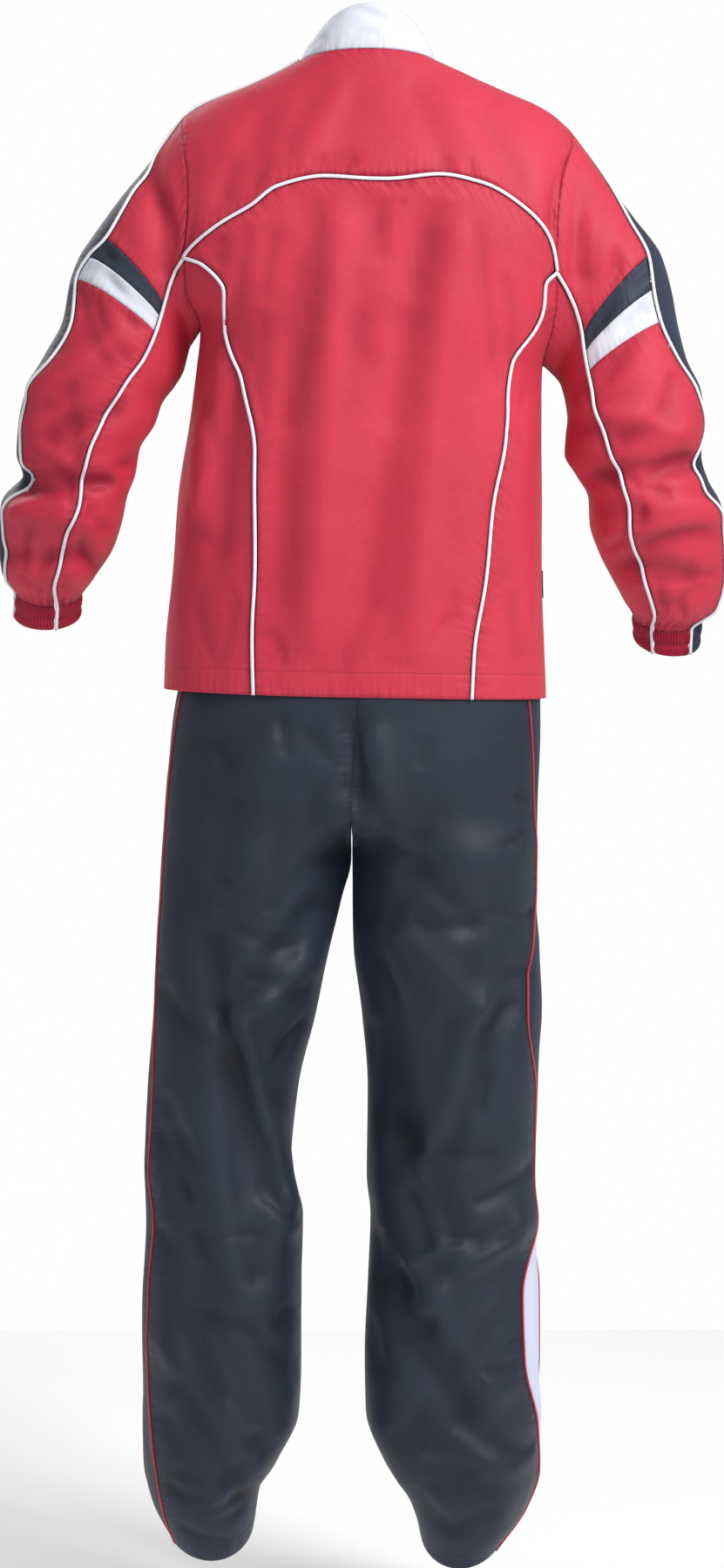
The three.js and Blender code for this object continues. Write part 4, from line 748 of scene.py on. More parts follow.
yoke_ends = [armhole_place(side, ARMHOLE[side]["seam"]) for side in SIDES]
yoke_places = [yoke_ends[0], *[back_place(*spot) for spot in YOKE], yoke_ends[1]]
back_places = {}
for side in SIDES:
    line = [back_place(*spot) for spot in BACK_SEAM[side]][::-1]
    line[0][1] = HEM_LEVEL
    back_places[side] = [*line, armhole_place(side, ARMHOLE[side]["seam"])]
YOKE_COLUMNS, YOKE_SIDE_ROWS, YOKE_TOP_ROWS = 112, 26, 26
yoke_sides = {
    side: joined(
        armhole_line(side, ARMHOLE[side]["seam"], ARMHOLE[side]["stripe_back"], YOKE_SIDE_ROWS),
        shoulder_line(side, ARMHOLE[side]["stripe_back"], neck_place(side, "back"), YOKE_TOP_ROWS),
    )
    for side in SIDES
}
yoke_gap = np.array([PLAIN_GAP] * YOKE_SIDE_ROWS + [PIPED_GAP] * (YOKE_TOP_ROWS + 1))
torso_panel(
    "back_yoke",
    {
        "bottom": seam_line(yoke_places, YOKE_COLUMNS),
        "top": straight(neck_place("left", "back"), neck_place("right", "back"), YOKE_COLUMNS),
        "left": yoke_sides["left"],
        "right": yoke_sides["right"],
    },
    {"bottom": PIPED_GAP, "top": PLAIN_GAP, "left": yoke_gap, "right": yoke_gap},
    red_nylon,
    strength=0.8,
)
BACK_ROWS, CENTRE_COLUMNS, SIDE_COLUMNS = 132, 84, 40
back_lines = {side: seam_line(back_places[side], BACK_ROWS) for side in SIDES}
torso_panel(
    "back_centre",
    {
        "bottom": straight(back_lines["left"][0], back_lines["right"][0], CENTRE_COLUMNS),
        "top": seam_line(yoke_places, CENTRE_COLUMNS),
        "left": back_lines["left"],
        "right": back_lines["right"],
    },
    {"top": PIPED_GAP, "left": PIPED_GAP, "right": PIPED_GAP},
    hemmed_red_nylon,
    hem="bottom",
)
side_lines = {
    side: straight([mirrored(side, 0), HEM_LEVEL], armhole_place(side, 180), BACK_ROWS) for side in SIDES
}
for side in SIDES:
    bottom = straight(side_lines[side][0], back_lines[side][0], SIDE_COLUMNS)
    top = armhole_line(side, 180, ARMHOLE[side]["seam"], SIDE_COLUMNS)
    lines = [side_lines[side], back_lines[side]]
    gaps = [PLAIN_GAP, PIPED_GAP]
    if side == "right":
        bottom, top, lines, gaps = bottom[::-1], top[::-1], lines[::-1], gaps[::-1]
    torso_panel(
        f"back_side_{side}",
        {"bottom": bottom, "top": top, "left": lines[0], "right": lines[1]},
        {"left": gaps[0], "right": gaps[1], "top": PLAIN_GAP},
        hemmed_red_nylon,
        hem="bottom",
    )

# The two fronts, each in one piece from the side seam and armhole to the zip, of the same red nylon. They hang
# a little fuller than the back and drop to a lower neck.
FRONT_COLUMNS, FRONT_BODY_ROWS, FRONT_HOLE_ROWS, FRONT_TOP_ROWS = 54, 96, 60, 26
CHEST_LEVEL = -300
ZIP_GAP = 4.3


def middle_of(level):
    return (torso["left"](level) + torso["right"](level)) / 2


def zip_places(start, levels):
    """The zip's straight line up the front. Start is the angle of the middle of the front."""
    half = (torso["left"](levels) - torso["right"](levels)) / 2
    low, high = middle_of(HEM_LEVEL), middle_of(0)
    x = high + (low - high) * levels / HEM_LEVEL
    angle = start + np.arcsin(signed_power((x - middle_of(levels)) / half, torso["square"](levels) / 2))
    return np.stack([angle, levels], -1)


share_of_chest = FRONT_ARM_ROWS / (FRONT_ARM_ROWS + SHOULDER_ROWS)
zip_levels = joined(
    np.linspace(HEM_LEVEL, CHEST_LEVEL, FRONT_BODY_ROWS + 1),
    np.linspace(CHEST_LEVEL, CHEST_LEVEL * (1 - share_of_chest), FRONT_HOLE_ROWS + 1),
    np.linspace(CHEST_LEVEL * (1 - share_of_chest), 0, FRONT_TOP_ROWS + 1),
)
front_gap = np.array([PLAIN_GAP] * (FRONT_BODY_ROWS + FRONT_HOLE_ROWS) + [PIPED_GAP] * (FRONT_TOP_ROWS + 1))
for side in SIDES:
    front_edge = ARMHOLE[side]["stripe_front"]
    outer = joined(
        straight([mirrored(side, 0), HEM_LEVEL], armhole_place(side, 180), FRONT_BODY_ROWS),
        armhole_line(side, -180, front_edge, FRONT_HOLE_ROWS),
        shoulder_line(side, front_edge, neck_place(side, "front"), FRONT_TOP_ROWS),
    )
    if side == "right":
        outer[: FRONT_BODY_ROWS + 1, 0] = math.pi
    zipped = zip_places(-math.pi / 2 if side == "left" else 1.5 * math.pi, zip_levels)
    hem, neck = straight(zipped[0], outer[0], FRONT_COLUMNS), straight(zipped[-1], outer[-1], FRONT_COLUMNS)
    edges = {"bottom": hem, "top": neck, "left": zipped, "right": outer}
    gaps = {"left": ZIP_GAP, "right": front_gap, "top": PLAIN_GAP}
    if side == "right":
        edges = {"bottom": hem[::-1], "top": neck[::-1], "left": outer, "right": zipped}
        gaps = {"left": front_gap, "right": ZIP_GAP, "top": PLAIN_GAP}
    torso_panel(f"front_{side}", edges, gaps, hemmed_red_nylon, hem="bottom")

# The stand collar: a double band of white nylon over a light stiffening, folded along its top edge and sewn
# round the neck. It stands away from the neck and creases softly where it bends.
COLLAR_TOP = {"mid": -9, "half": 54, "back": 49, "front": 60, "side": 30, "rise_back": 27, "rise_front": -52}
COLLAR_BULGE = 3
COLLAR_THICKNESS = 0.0014
COLLAR_COLUMNS, COLLAR_ROWS = 128, 22
COLLAR_CREASES = [
    (1, 20, 62, -58, 30, 6, -3.5, 3),
    (1, 44, 40, 18, 66, 9, -3, -4),
    (1, 40, 25, 58, 6, 6, -2.5, 2),
    (1, -20, 22, 12, 26, 5, -1.5, 2),
    (-1, 30, -10, 55, 10, 8, -2.5, 3),
    (-1, -45, -10, -62, 12, 8, -2.5, -3),
]


def collar_points(angle, height):
    """Points round the collar at heights from 0 at its neck seam to 1 at its top."""
    c, s = np.cos(angle), np.sin(angle)
    depth = np.where(s > 0, COLLAR_TOP["back"], COLLAR_TOP["front"])
    rise = np.where(s > 0, COLLAR_TOP["rise_back"], COLLAR_TOP["rise_front"])
    x = COLLAR_TOP["mid"] + COLLAR_TOP["half"] * c
    top = np.stack([x, depth * s, COLLAR_TOP["side"] + rise * np.abs(s) ** 1.5], -1)
    neck = surface_of(np.stack([angle, 0 * angle], -1))
    out = np.stack([c, s, 0 * s], -1) * (COLLAR_BULGE * np.sin(math.pi * height))[..., None]
    return neck + (top - neck) * height[..., None] + out


collar_angles, collar_heights = np.meshgrid(
    np.linspace(-math.pi / 2, 1.5 * math.pi, COLLAR_COLUMNS + 1), np.linspace(0, 1, COLLAR_ROWS + 1)
)
white_nylon = woven_nylon("white_nylon", "e0e2ed", "d9dce8", "b3b7cc", 0.55, pucker=0.7, crease=0.8)
collar_grid = collar_points(collar_angles, collar_heights)
collar_grid = creased(collar_grid, np.sin(collar_angles), [], COLLAR_CREASES, 0.45)
build_sheet(
    "collar",
    collar_grid,
    {"bottom": PLAIN_GAP, "left": ZIP_GAP, "right": ZIP_GAP},
    white_nylon,
    "white_cloth",
    held="stretched",
    rests_on=["back_yoke_cloth", "front_left_cloth", "front_right_cloth"],
    thick=COLLAR_THICKNESS,
)

# The front zip: two woven tapes with moulded teeth, closed from hem to collar. Its nickelled slider is at the
# top, and the pull tab hangs from the slider's bridge. Tapes, slider and tab keep their solids.
TOOTH = {"width": 3.4, "height": 1.0, "long": 1.1, "pitch": 1.75, "offset": 0.7, "proud": 0.9, "rounding": 0.25}


def zip_strip(count):
    """Three lines of points side by side up the zip, from the hem to the collar's top."""
    levels = np.linspace(HEM_LEVEL, 0, count)
    body = zip_places(-math.pi / 2, levels)
    offsets = np.array([-0.02, 0, 0.02])
    places = np.stack([np.stack([body[:, 0] + k, body[:, 1]], -1) for k in offsets], 1)
    heights = np.linspace(0, 1, 12)[1:, None] + 0 * offsets
    angles = -math.pi / 2 + 0 * heights + offsets
    return np.concatenate([surface_of(places), collar_points(angles, heights)])


def even(points, normals, step):
    """The same line with its points a step apart."""
    lengths = lengths_along(points)
    at = np.arange(step, lengths[-1] - step, step)
    facing = resampled(normals, lengths, at)
    return resampled(points, lengths, at), facing / np.linalg.norm(facing, axis=1, keepdims=True)


bpy.ops.mesh.primitive_cube_add(size=1)
tooth = bpy.context.object
tooth.scale = (TOOTH["width"] * MM, TOOTH["height"] * MM, TOOTH["long"] * MM)
bpy.ops.object.transform_apply(scale=True)
rounding = tooth.modifiers.new("rounding", "BEVEL")
rounding.width = TOOTH["rounding"] * MM
rounding.segments = 1
bpy.ops.object.modifier_apply(modifier="rounding")
corner = np.array([vertex.co[:] for vertex in tooth.data.vertices])
faces = [list(face.vertices) for face in tooth.data.polygons]
bpy.data.objects.remove(tooth)
strip = zip_strip(300)
zip_line, zip_out = even(strip[:, 1], outward(strip)[:, 1], TOOTH["pitch"])
zip_up = np.gradient(zip_line, axis=0)
zip_up /= np.linalg.norm(zip_up, axis=1, keepdims=True)
zip_across = np.cross(zip_up, zip_out)
teeth_points, teeth_faces = [], []
for k, (spot, across, out, up) in enumerate(zip(zip_line, zip_across, zip_out, zip_up)):
    sideways = TOOTH["offset"] * (1 if k % 2 else -1)
    centre = (spot + out * TOOTH["proud"] + across * sideways) * MM
    teeth_faces += [[index + len(teeth_points) * len(corner) for index in face] for face in faces]
    teeth_points.append(centre + corner @ np.stack([across, -out, up]))
teeth = bpy.data.meshes.new("zip_teeth")
teeth.from_pydata(np.concatenate(teeth_points).tolist(), [], teeth_faces)
zip_teeth = bpy.data.objects.new("zip_teeth", teeth)
bpy.context.collection.objects.link(zip_teeth)
moulded, place, shader = new_material("moulded_teeth")
grain = place.noise(900.0, Detail=2.0)
plug(shader, {"Base Color": grain.between("2a2f3a", "3a4150"), "Roughness": grain * 0.2 + 0.3})
teeth.materials.append(moulded)
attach(zip_teeth, "garment")


def give(name, material):
    """A solid that stays as it is gets a better material."""
    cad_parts[name].data.materials.clear()
    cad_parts[name].data.materials.append(material)


def narrow_weave(name, deep, light, roughness, ribs, distortion, mottle, strength, distance):
    """A narrow woven band with ribs across it."""
    material, place, shader = new_material(name)
    wale = place.node("TexWave", {"bands_direction": "Z"}, {"Vector": place, "Scale": ribs, "Distortion": distortion})
    looks = {
        "Base Color": place.noise(mottle, Detail=2.0).between(deep, light),
        "Roughness": roughness,
        "Normal": wale.bump(strength, distance),
    }
    plug(shader, looks)
    return material


give("front_zip", narrow_weave("woven_tape", "1b2030", "2b3245", 0.75, 260.0, 1.5, 300.0, 0.6, 0.0003))
nickel, place, shader = new_material("dull_nickel")
brushed = place.node("Mapping", {}, {"Vector": place, "Scale": (900, 900, 60)}).noise(1.0, Detail=3.0)
nickel_looks = {
    "Base Color": brushed.between("8b8d92", "a9abb0"),
    "Roughness": brushed * 0.2 + 0.24,
    "Metallic": 1.0,
    "Normal": brushed.bump(0.3, 0.0001),
}
plug(shader, nickel_looks)
give("zip_slider", nickel)
give("pull_tab", nickel)

# The side label: a folded scrap of navy woven ribbon caught in the right side seam, with nothing on it.
give("side_label", narrow_weave("label_ribbon", "222838", "30384c", 0.6, 420.0, 0.6, 250.0, 0.5, 0.0002))

# The sleeves: each a navy stripe that starts at the neck and runs over the shoulder and down the arm, red panels
# behind, beneath and in front, and a dark and a white band let into the back panel above the elbow.
RING_SIZES = ("out_x", "out_z", "in_x", "in_z", "y", "depth", "lean", "stripe", "seam")
SLEEVE = {
    "left": [
        (265, -158, 184, -298, 3, 79, -18, 46, 121),
        (288, -190, 186, -305, 4, 77, -20, 50, 124),
        (303, -212, 188, -313, 5, 75, -19, 42, 125),
        (312, -236, 191, -324, 6, 73, -16, 34, 124),
        (319, -275, 201, -342, 8, 71, -10, 39, 121),
        (340, -313, 214, -361, 9, 70, -4, 40, 116),
        (361, -351, 222, -385, 9, 69, 2, 28, 110),
        (369, -386, 238, -411, 7, 68, 8, 26, 105),
        (371, -414, 243, -438, 3, 66, 13, 30, 101),
        (365, -438, 252, -461, -4, 63, 17, 28, 99),
        (388, -468, 258, -487, -14, 63, 20, 25, 98),
        (393, -506, 268, -515, -29, 59, 22, 30, 98),
        (391, -538, 287, -543, -44, 51, 24, 30, 99),
        (377, -563, 306, -567, -57, 36, 25, 14, 108),
        (379, -591, 308, -591, -69, 36, 25, 8, 108),
    ],
    "right": [
        (-289, -170, -208, -331, 3, 81, -19, 36, 122),
        (-319, -211, -212, -336, 4, 78, -22, 47, 128),
        (-329, -246, -215, -345, 5, 76, -20, 52, 130),
        (-336, -280, -218, -358, 6, 74, -16, 50, 130),
        (-346, -316, -220, -377, 8, 72, -10, 38, 127),
        (-362, -350, -218, -397, 9, 71, -4, 25, 121),
        (-367, -384, -217, -417, 8, 70, 3, 14, 115),
        (-363, -415, -229, -438, 4, 68, 9, 22, 112),
        (-372, -443, -243, -463, -3, 66, 14, 30, 112),
        (-388, -472, -245, -491, -12, 64, 18, 26, 114),
        (-394, -507, -255, -519, -25, 62, 20, 22, 115),
        (-396, -541, -270, -547, -39, 58, 22, 24, 114),
        (-392, -573, -285, -573, -53, 48, 24, 34, 115),
        (-370, -594, -296, -590, -63, 37, 25, 50, 120),
        (-369, -622, -298, -616, -75, 37, 25, 50, 118),
    ],
}
STRIPE_TURN = 74
CAP_STEPS = 3
BANDS = {
    "sleeve_back_upper": (0, 4),
    "sleeve_band_dark": (4, 5),
    "sleeve_band_white": (5, 6),
    "sleeve_back_lower": (6, 16),
}


def ring_points(ring, turn):
    c, s = np.cos(np.radians(turn)), np.sin(np.radians(turn)) * ring["depth"]
    lean = math.radians(ring["lean"])
    share = (1 + c) / 2
    x = ring["in_x"] + (ring["out_x"] - ring["in_x"]) * share
    z = ring["in_z"] + (ring["out_z"] - ring["in_z"]) * share - s * math.sin(lean)
    return np.stack([x, ring["y"] + s * math.cos(lean), z], -1)


def ring_station(ring, seams):
    return {
        **seams,
        "point": lambda turn: ring_points(ring, turn),
        "facing": lambda turn: np.sin(np.radians(turn)),
    }


def sleeve_seams(stripe, reach, seam):
    front = stripe - reach
    return {"stripe_front": front, "stripe_back": stripe, "seam": seam, "under": 180, "around": front + 360}


def cap_station(side, first, share):
    hole = ARMHOLE[side]
    stripe = hole["stripe_back"] + (first["stripe"] - hole["stripe_back"]) * share
    reach = hole["stripe_back"] - hole["stripe_front"]
    seams = sleeve_seams(
        stripe, reach + (STRIPE_TURN - reach) * share, hole["seam"] + (first["seam"] - hole["seam"]) * share
    )

    def point(turn):
        rim = surface_of(armhole_place(side, turn))
        return rim + (ring_points(first, turn) - rim) * share

    return {**seams, "point": point, "facing": lambda turn: share * np.sin(np.radians(turn))}


def sleeve_stations(side):
    rings = [dict(zip(RING_SIZES, row)) for row in SLEEVE[side]]
    cap = [cap_station(side, rings[0], k / CAP_STEPS) for k in range(CAP_STEPS)]
    return cap + [ring_station(ring, sleeve_seams(ring["stripe"], STRIPE_TURN, ring["seam"])) for ring in rings]


def limb_points(stations, start, end, share, at):
    """Points and facings of a limb between two of its seams. At counts the stations down the limb."""
    flat_share, flat_at = share.ravel(), at.ravel()
    spots, facings = [], []
    for station in stations:
        turn = station[start] + (station[end] - station[start]) * flat_share
        spots.append(station["point"](turn))
        facings.append(station["facing"](turn))
    numbers = np.arange(len(stations))
    points = smooth_line(numbers, np.array(spots), flat_at)
    facing = smooth_line(numbers, np.array(facings), flat_at)
    return points.reshape(*share.shape, 3), facing.reshape(share.shape)


def limb_grid(side, stations, start, end, columns, span, rows):
    """A panel's bare grid and facings, rows from its lower end up and columns from left to right."""
    share, at = np.meshgrid(np.linspace(0, 1, columns + 1), np.linspace(span[1], span[0], rows + 1))
    points, facing = limb_points(stations, start, end, share, at)
    return (points, facing) if side == "left" else (points[:, ::-1], facing[:, ::-1])


def on_side(side, gaps):
    if side == "left":
        return gaps
    swapped = {"left": "right", "right": "left"}
    return {swapped.get(edge, edge): gap for edge, gap in gaps.items()}


navy_nylon = woven_nylon("navy_nylon", "2b3348", "252c3f", "151925", 0.6)
band_nylon = woven_nylon("band_nylon", "32394c", "2c3344", "191e2a", 0.6)
SLEEVE_ROWS = 8  # rows of points from one ring of a sleeve to the next
STRIPE_COLUMNS = 22
SLEEVE_COLUMNS = {"back": 30, "under": 24, "front": 44}
SLEEVE_PLEATS = {"stripe": 5, "back": 6, "under": 4, "front": 9}
CUFF_TOP = CAP_STEPS + len(SLEEVE["left"]) - 2
sleeves = {side: sleeve_stations(side) for side in SIDES}


def gathered(grid, from_cuff, count):
    """The fullness that the cuff gathers in: shallow pleats that fade out a hand's breadth above it."""
    columns = np.linspace(0, count * 2 * math.pi, grid.shape[1])[None]
    wobble = 1.6 * crumple(grid, 30, (1, 1, 1), (5.5, 2.2, 8.1))
    depth = 1.5 * bell(from_cuff, 26) * (SEAM_SHARE + (1 - SEAM_SHARE) * smooth_step(from_cuff, 0, 8))
    return grid + outward(grid) * (np.cos(columns + wobble) * depth[:, None])[..., None]


def sleeve_panel(name, side, start, end, part, span, gaps, material, slot_name):
    rows = SLEEVE_ROWS * (span[1] - span[0])
    grid, facing = limb_grid(side, sleeves[side], start, end, SLEEVE_COLUMNS[part], span, rows)
    grid = creased(grid, facing, JACKET_FOLDS, JACKET_CREASES, 1.0)
    if span[1] == CUFF_TOP:
        grid = gathered(grid, run(grid, 0).mean(axis=1), SLEEVE_PLEATS[part])
    rests = ["back_yoke_cloth", f"front_{side}_cloth"]
    build_sheet(f"{name}_{side}", grid, on_side(side, gaps), material, slot_name, rests_on=rests)


for side in SIDES:
    edges, rows = ("stripe_front", "stripe_back"), SLEEVE_ROWS * CUFF_TOP
    grid, facing = limb_grid(side, sleeves[side], *edges, STRIPE_COLUMNS, (0, CUFF_TOP), rows)
    grid = creased(grid, facing, JACKET_FOLDS, JACKET_CREASES, 1.0)
    grid = gathered(grid, run(grid, 0).mean(axis=1), SLEEVE_PLEATS["stripe"])
    hole = ARMHOLE[side]
    share = np.linspace(0, 1, STRIPE_COLUMNS + 1)
    turns = hole["stripe_front"] + (hole["stripe_back"] - hole["stripe_front"]) * share
    front, back = neck_place(side, "front"), neck_place(side, "back")
    necks = front + (back - front) * share[:, None]
    shoulder = np.linspace(armhole_place(side, turns), necks, FRONT_TOP_ROWS + 1)
    if side == "right":
        shoulder = shoulder[:, ::-1]
    top = creased(surface_of(shoulder), np.sin(shoulder[..., 0]), [], JACKET_CREASES, 0.6)
    grid[-1] = (grid[-1] + top[0]) / 2
    gaps = {"bottom": PLAIN_GAP, "top": PLAIN_GAP, "left": PIPED_GAP, "right": PIPED_GAP}
    stripe = np.concatenate([grid, top[1:]])
    build_sheet(f"stripe_{side}", stripe, gaps, navy_nylon, "navy_jacket_cloth", rests_on=["collar_cloth"])

    looks = {
        "sleeve_back_upper": (red_nylon, "red_cloth"),
        "sleeve_band_dark": (band_nylon, "grey_navy_cloth"),
        "sleeve_band_white": (white_nylon, "white_cloth"),
        "sleeve_back_lower": (red_nylon, "red_cloth"),
    }
    for name, (material, slot_name) in looks.items():
        span = tuple(min(end, CUFF_TOP) for end in BANDS[name])
        sleeve_panel(name, side, "stripe_back", "seam", "back", span, gaps, material, slot_name)
    under = {**gaps, "right": PLAIN_GAP}
    sleeve_panel("sleeve_under", side, "seam", "under", "under", (0, CUFF_TOP), under, red_nylon, "red_cloth")
    ahead = {**gaps, "left": PLAIN_GAP}
    sleeve_panel("sleeve_front", side, "under", "around", "front", (0, CUFF_TOP), ahead, red_nylon, "red_cloth")

# The cuffs: each a doubled band of the sleeve's own cloth with flat elastic inside, stitched through once
# lengthwise of the elastic, so it gathers into dozens of fine ribs.
CUFF_RIBS = {"stripe": 12, "back": 16, "front": 30}
CUFF_ROWS = 18
CUFF_STITCHING = 0.36  # how far up the cuff its line of stitches runs
CUFF_THICKNESS = 0.0012
RIB_POINTS = 7  # points of the cloth across one rib
# The red cuffs' colours are a darker copy of the sleeves' red nylon: painted shade over the same cloth.
cuff_red_painted_darker = woven_nylon("cuff_red_nylon_painted_darker", "ad1a3a", "9c1232", "6a0422", 0.62, crease=0.3)
cuff_navy = woven_nylon("cuff_navy_nylon", "2b3348", "252c3f", "151925", 0.6, crease=0.3)
for side in SIDES:
    for name, start, end, material, slot_name in (
        ("stripe", "stripe_front", "stripe_back", cuff_navy, "navy_jacket_cloth"),
        ("back", "stripe_back", "seam", cuff_red_painted_darker, "red_cloth"),
        ("front", "seam", "around", cuff_red_painted_darker, "red_cloth"),
    ):
        columns = CUFF_RIBS[name] * RIB_POINTS
        grid, facing = limb_grid(side, sleeves[side], start, end, columns, (CUFF_TOP, CUFF_TOP + 1), CUFF_ROWS)
        rib = np.linspace(0, CUFF_RIBS[name] * 2 * math.pi, columns + 1)[None]
        rib = rib + 1.3 * crumple(grid, 11, (1, 1, 2), (1.7, 9.2, 4.4))
        height = np.linspace(0, 1, CUFF_ROWS + 1)[:, None]
        stitched = 1 - 0.75 * bell(height - CUFF_STITCHING, 0.07) - 0.55 * bell(height, 0.08)
        edge = np.minimum(np.arange(columns + 1), np.arange(columns + 1)[::-1])[None]
        puffed = 1.2 * arch((height - 0.4) / 0.6) + 0.8 * arch(height / CUFF_STITCHING)
        sewn = 1 - 0.85 * bell(1 - height, 0.1)
        push = (0.85 * np.cos(rib) * stitched * np.clip(edge / 5, 0, 1) + puffed * np.clip(edge / 4, 0, 1)) * sewn
        grid = grid + outward(grid) * push[..., None]
        gaps = on_side(side, {"top": PLAIN_GAP, "left": PIPED_GAP, "right": PIPED_GAP})
        held = ("gathered", [f"sleeve_front_{side}_cloth"])
        build_sheet(f"cuff_{name}_{side}", grid, gaps, material, slot_name, *held, thick=CUFF_THICKNESS)

# The white pipings: a cord wrapped in bias-cut white nylon, sewn into the yoke seam, the curved back seams, both
# edges of each shoulder stripe and the seam behind each arm. It stands up to 3 mm proud of the cloth.
PIPING = {"half_width": 1.95, "half_height": 1.7, "lift": 1.3, "sides": 10, "step": 3.6}
BIAS_THREAD = 0.0011


def piping_cloth(name, light, deep, roughness):
    """Bias-cut nylon round a cord: its threads run aslant."""
    material, place, shader = new_material(name)
    across, along = cloth_directions(place)
    wear = place.noise(60.0, Detail=3.0)
    slant = ((across + along) * (2 * math.pi / BIAS_THREAD)).sine()
    looks = {
        "Base Color": wear.between(deep, light),
        "Roughness": wear * 0.15 + (roughness - 0.08),
        "Sheen Weight": 0.2,
        "Normal": slant.bump(0.5, 0.0001),
    }
    plug(shader, looks)
    return material


def piping(name, points, normals, shape, material, slot_name, cut=(0.5, 0.5)):
    """A piping's tube along a seam, from its points in millimetres and the cloth's outward directions."""
    lengths = lengths_along(points)
    at = np.linspace(cut[0], lengths[-1] - cut[1], int(lengths[-1] / shape["step"]))
    line, out = resampled(points, lengths, at), resampled(normals, lengths, at)
    along = np.gradient(line, axis=0)
    across = np.cross(along, out)
    across /= np.linalg.norm(across, axis=1, keepdims=True)
    out = np.cross(across, along)
    out /= np.linalg.norm(out, axis=1, keepdims=True)
    turn = np.linspace(0, 2 * math.pi, shape["sides"] + 1)[:-1]
    rings = (
        line[:, None]
        + across[:, None] * (np.cos(turn) * shape["half_width"])[None, :, None]
        + out[:, None] * (np.sin(turn) * shape["half_height"] + shape["lift"])[None, :, None]
    )
    rings = np.concatenate([line[:1, None] + 0 * rings[:1], rings, line[-1:, None] + 0 * rings[:1]])
    count, sides = rings.shape[:2]
    own = np.arange(count * sides).reshape(count, sides)
    after = np.roll(own, -1, axis=1)
    faces = np.stack([own[:-1], own[1:], after[1:], after[:-1]], -1).reshape(-1, 4)
    u = np.broadcast_to(turn * shape["half_width"] * MM, (count, sides))
    v = np.broadcast_to(np.concatenate([at[:1], at, at[-1:]])[:, None] * MM, (count, sides))
    piece = grid_mesh(f"{name}_cord", rings, faces, u, v, material)
    weld = piece.modifiers.new("weld", "WELD")
    weld.merge_threshold = 1e-6
    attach(piece, "garment")
    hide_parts(name)


def torso_seam(places, upright=True):
    """Points and normals along a seam of the jacket's body, lying on its creased cloth."""
    spread = np.array([-0.015, 0, 0.015]) if upright else np.array([-1.5, 0, 1.5])
    strip = np.stack([places + ([k, 0] if upright else [0, k]) for k in spread], 1 if upright else 0)
    grid = surface_of(strip)
    points, normals = (grid[:, 1], outward(grid)[:, 1]) if upright else (grid[1], outward(grid)[1])
    angles = strip[:, 1, 0] if upright else strip[1, :, 0]
    height = SEAM_SHARE * crease_height(points, np.sin(angles), JACKET_CREASES, 1.0)
    return points + normals * height[:, None], normals


def limb_seam(side, stations, edge, at, folds, creases, strength):
    """Points and normals along a lengthwise seam of a limb, from its upper end down."""
    share, spots = np.meshgrid(np.array([-0.02, 0, 0.02]), at[::-1])
    start, end = edge
    points, facing = limb_points(stations, start, end, share, spots)
    if side == "right":
        points, facing = points[:, ::-1], facing[:, ::-1]
    normals = outward(points)
    points = points + normals * fold_height(folds, facing, points)[..., None]
    normals = outward(points)[::-1, 1]
    points, facing = points[::-1, 1], facing[::-1, 1]
    height = SEAM_SHARE * crease_height(points, facing, creases, strength)
    return points + normals * height[:, None], normals


white_piping = piping_cloth("white_piping", "f2f2f8", "e8e9f1", 0.42)
yoke_seam = torso_seam(seam_line(yoke_places, 200), upright=False)
piping("yoke_piping", *yoke_seam, PIPING, white_piping, "white_cord", (1, 1))
for side in SIDES:
    piping(f"back_piping_{side}", *torso_seam(back_lines[side]), PIPING, white_piping, "white_cord", (0, 1))
    at = np.linspace(0, CUFF_TOP + 1, (CUFF_TOP + 1) * SLEEVE_ROWS + 1)
    hole = ARMHOLE[side]
    for edge in ("front", "back"):
        neck = shoulder_line(side, hole[f"stripe_{edge}"], neck_place(side, edge), FRONT_TOP_ROWS)
        above = [part[::-1] for part in torso_seam(neck)]
        ends = (f"stripe_{edge}", "under" if edge == "front" else "seam")
        below = limb_seam(side, sleeves[side], ends, at, JACKET_FOLDS, JACKET_CREASES, 1.0)
        line, out = (np.concatenate([a[:-1], b[1:]]) for a, b in zip(above, below))
        piping(f"stripe_piping_{edge}_{side}", line, out, PIPING, white_piping, "white_cord")
    behind = limb_seam(side, sleeves[side], ("seam", "under"), at, JACKET_FOLDS, JACKET_CREASES, 1.0)
    piping(f"sleeve_piping_{side}", *behind, PIPING, white_piping, "white_cord", (0.5, 0))

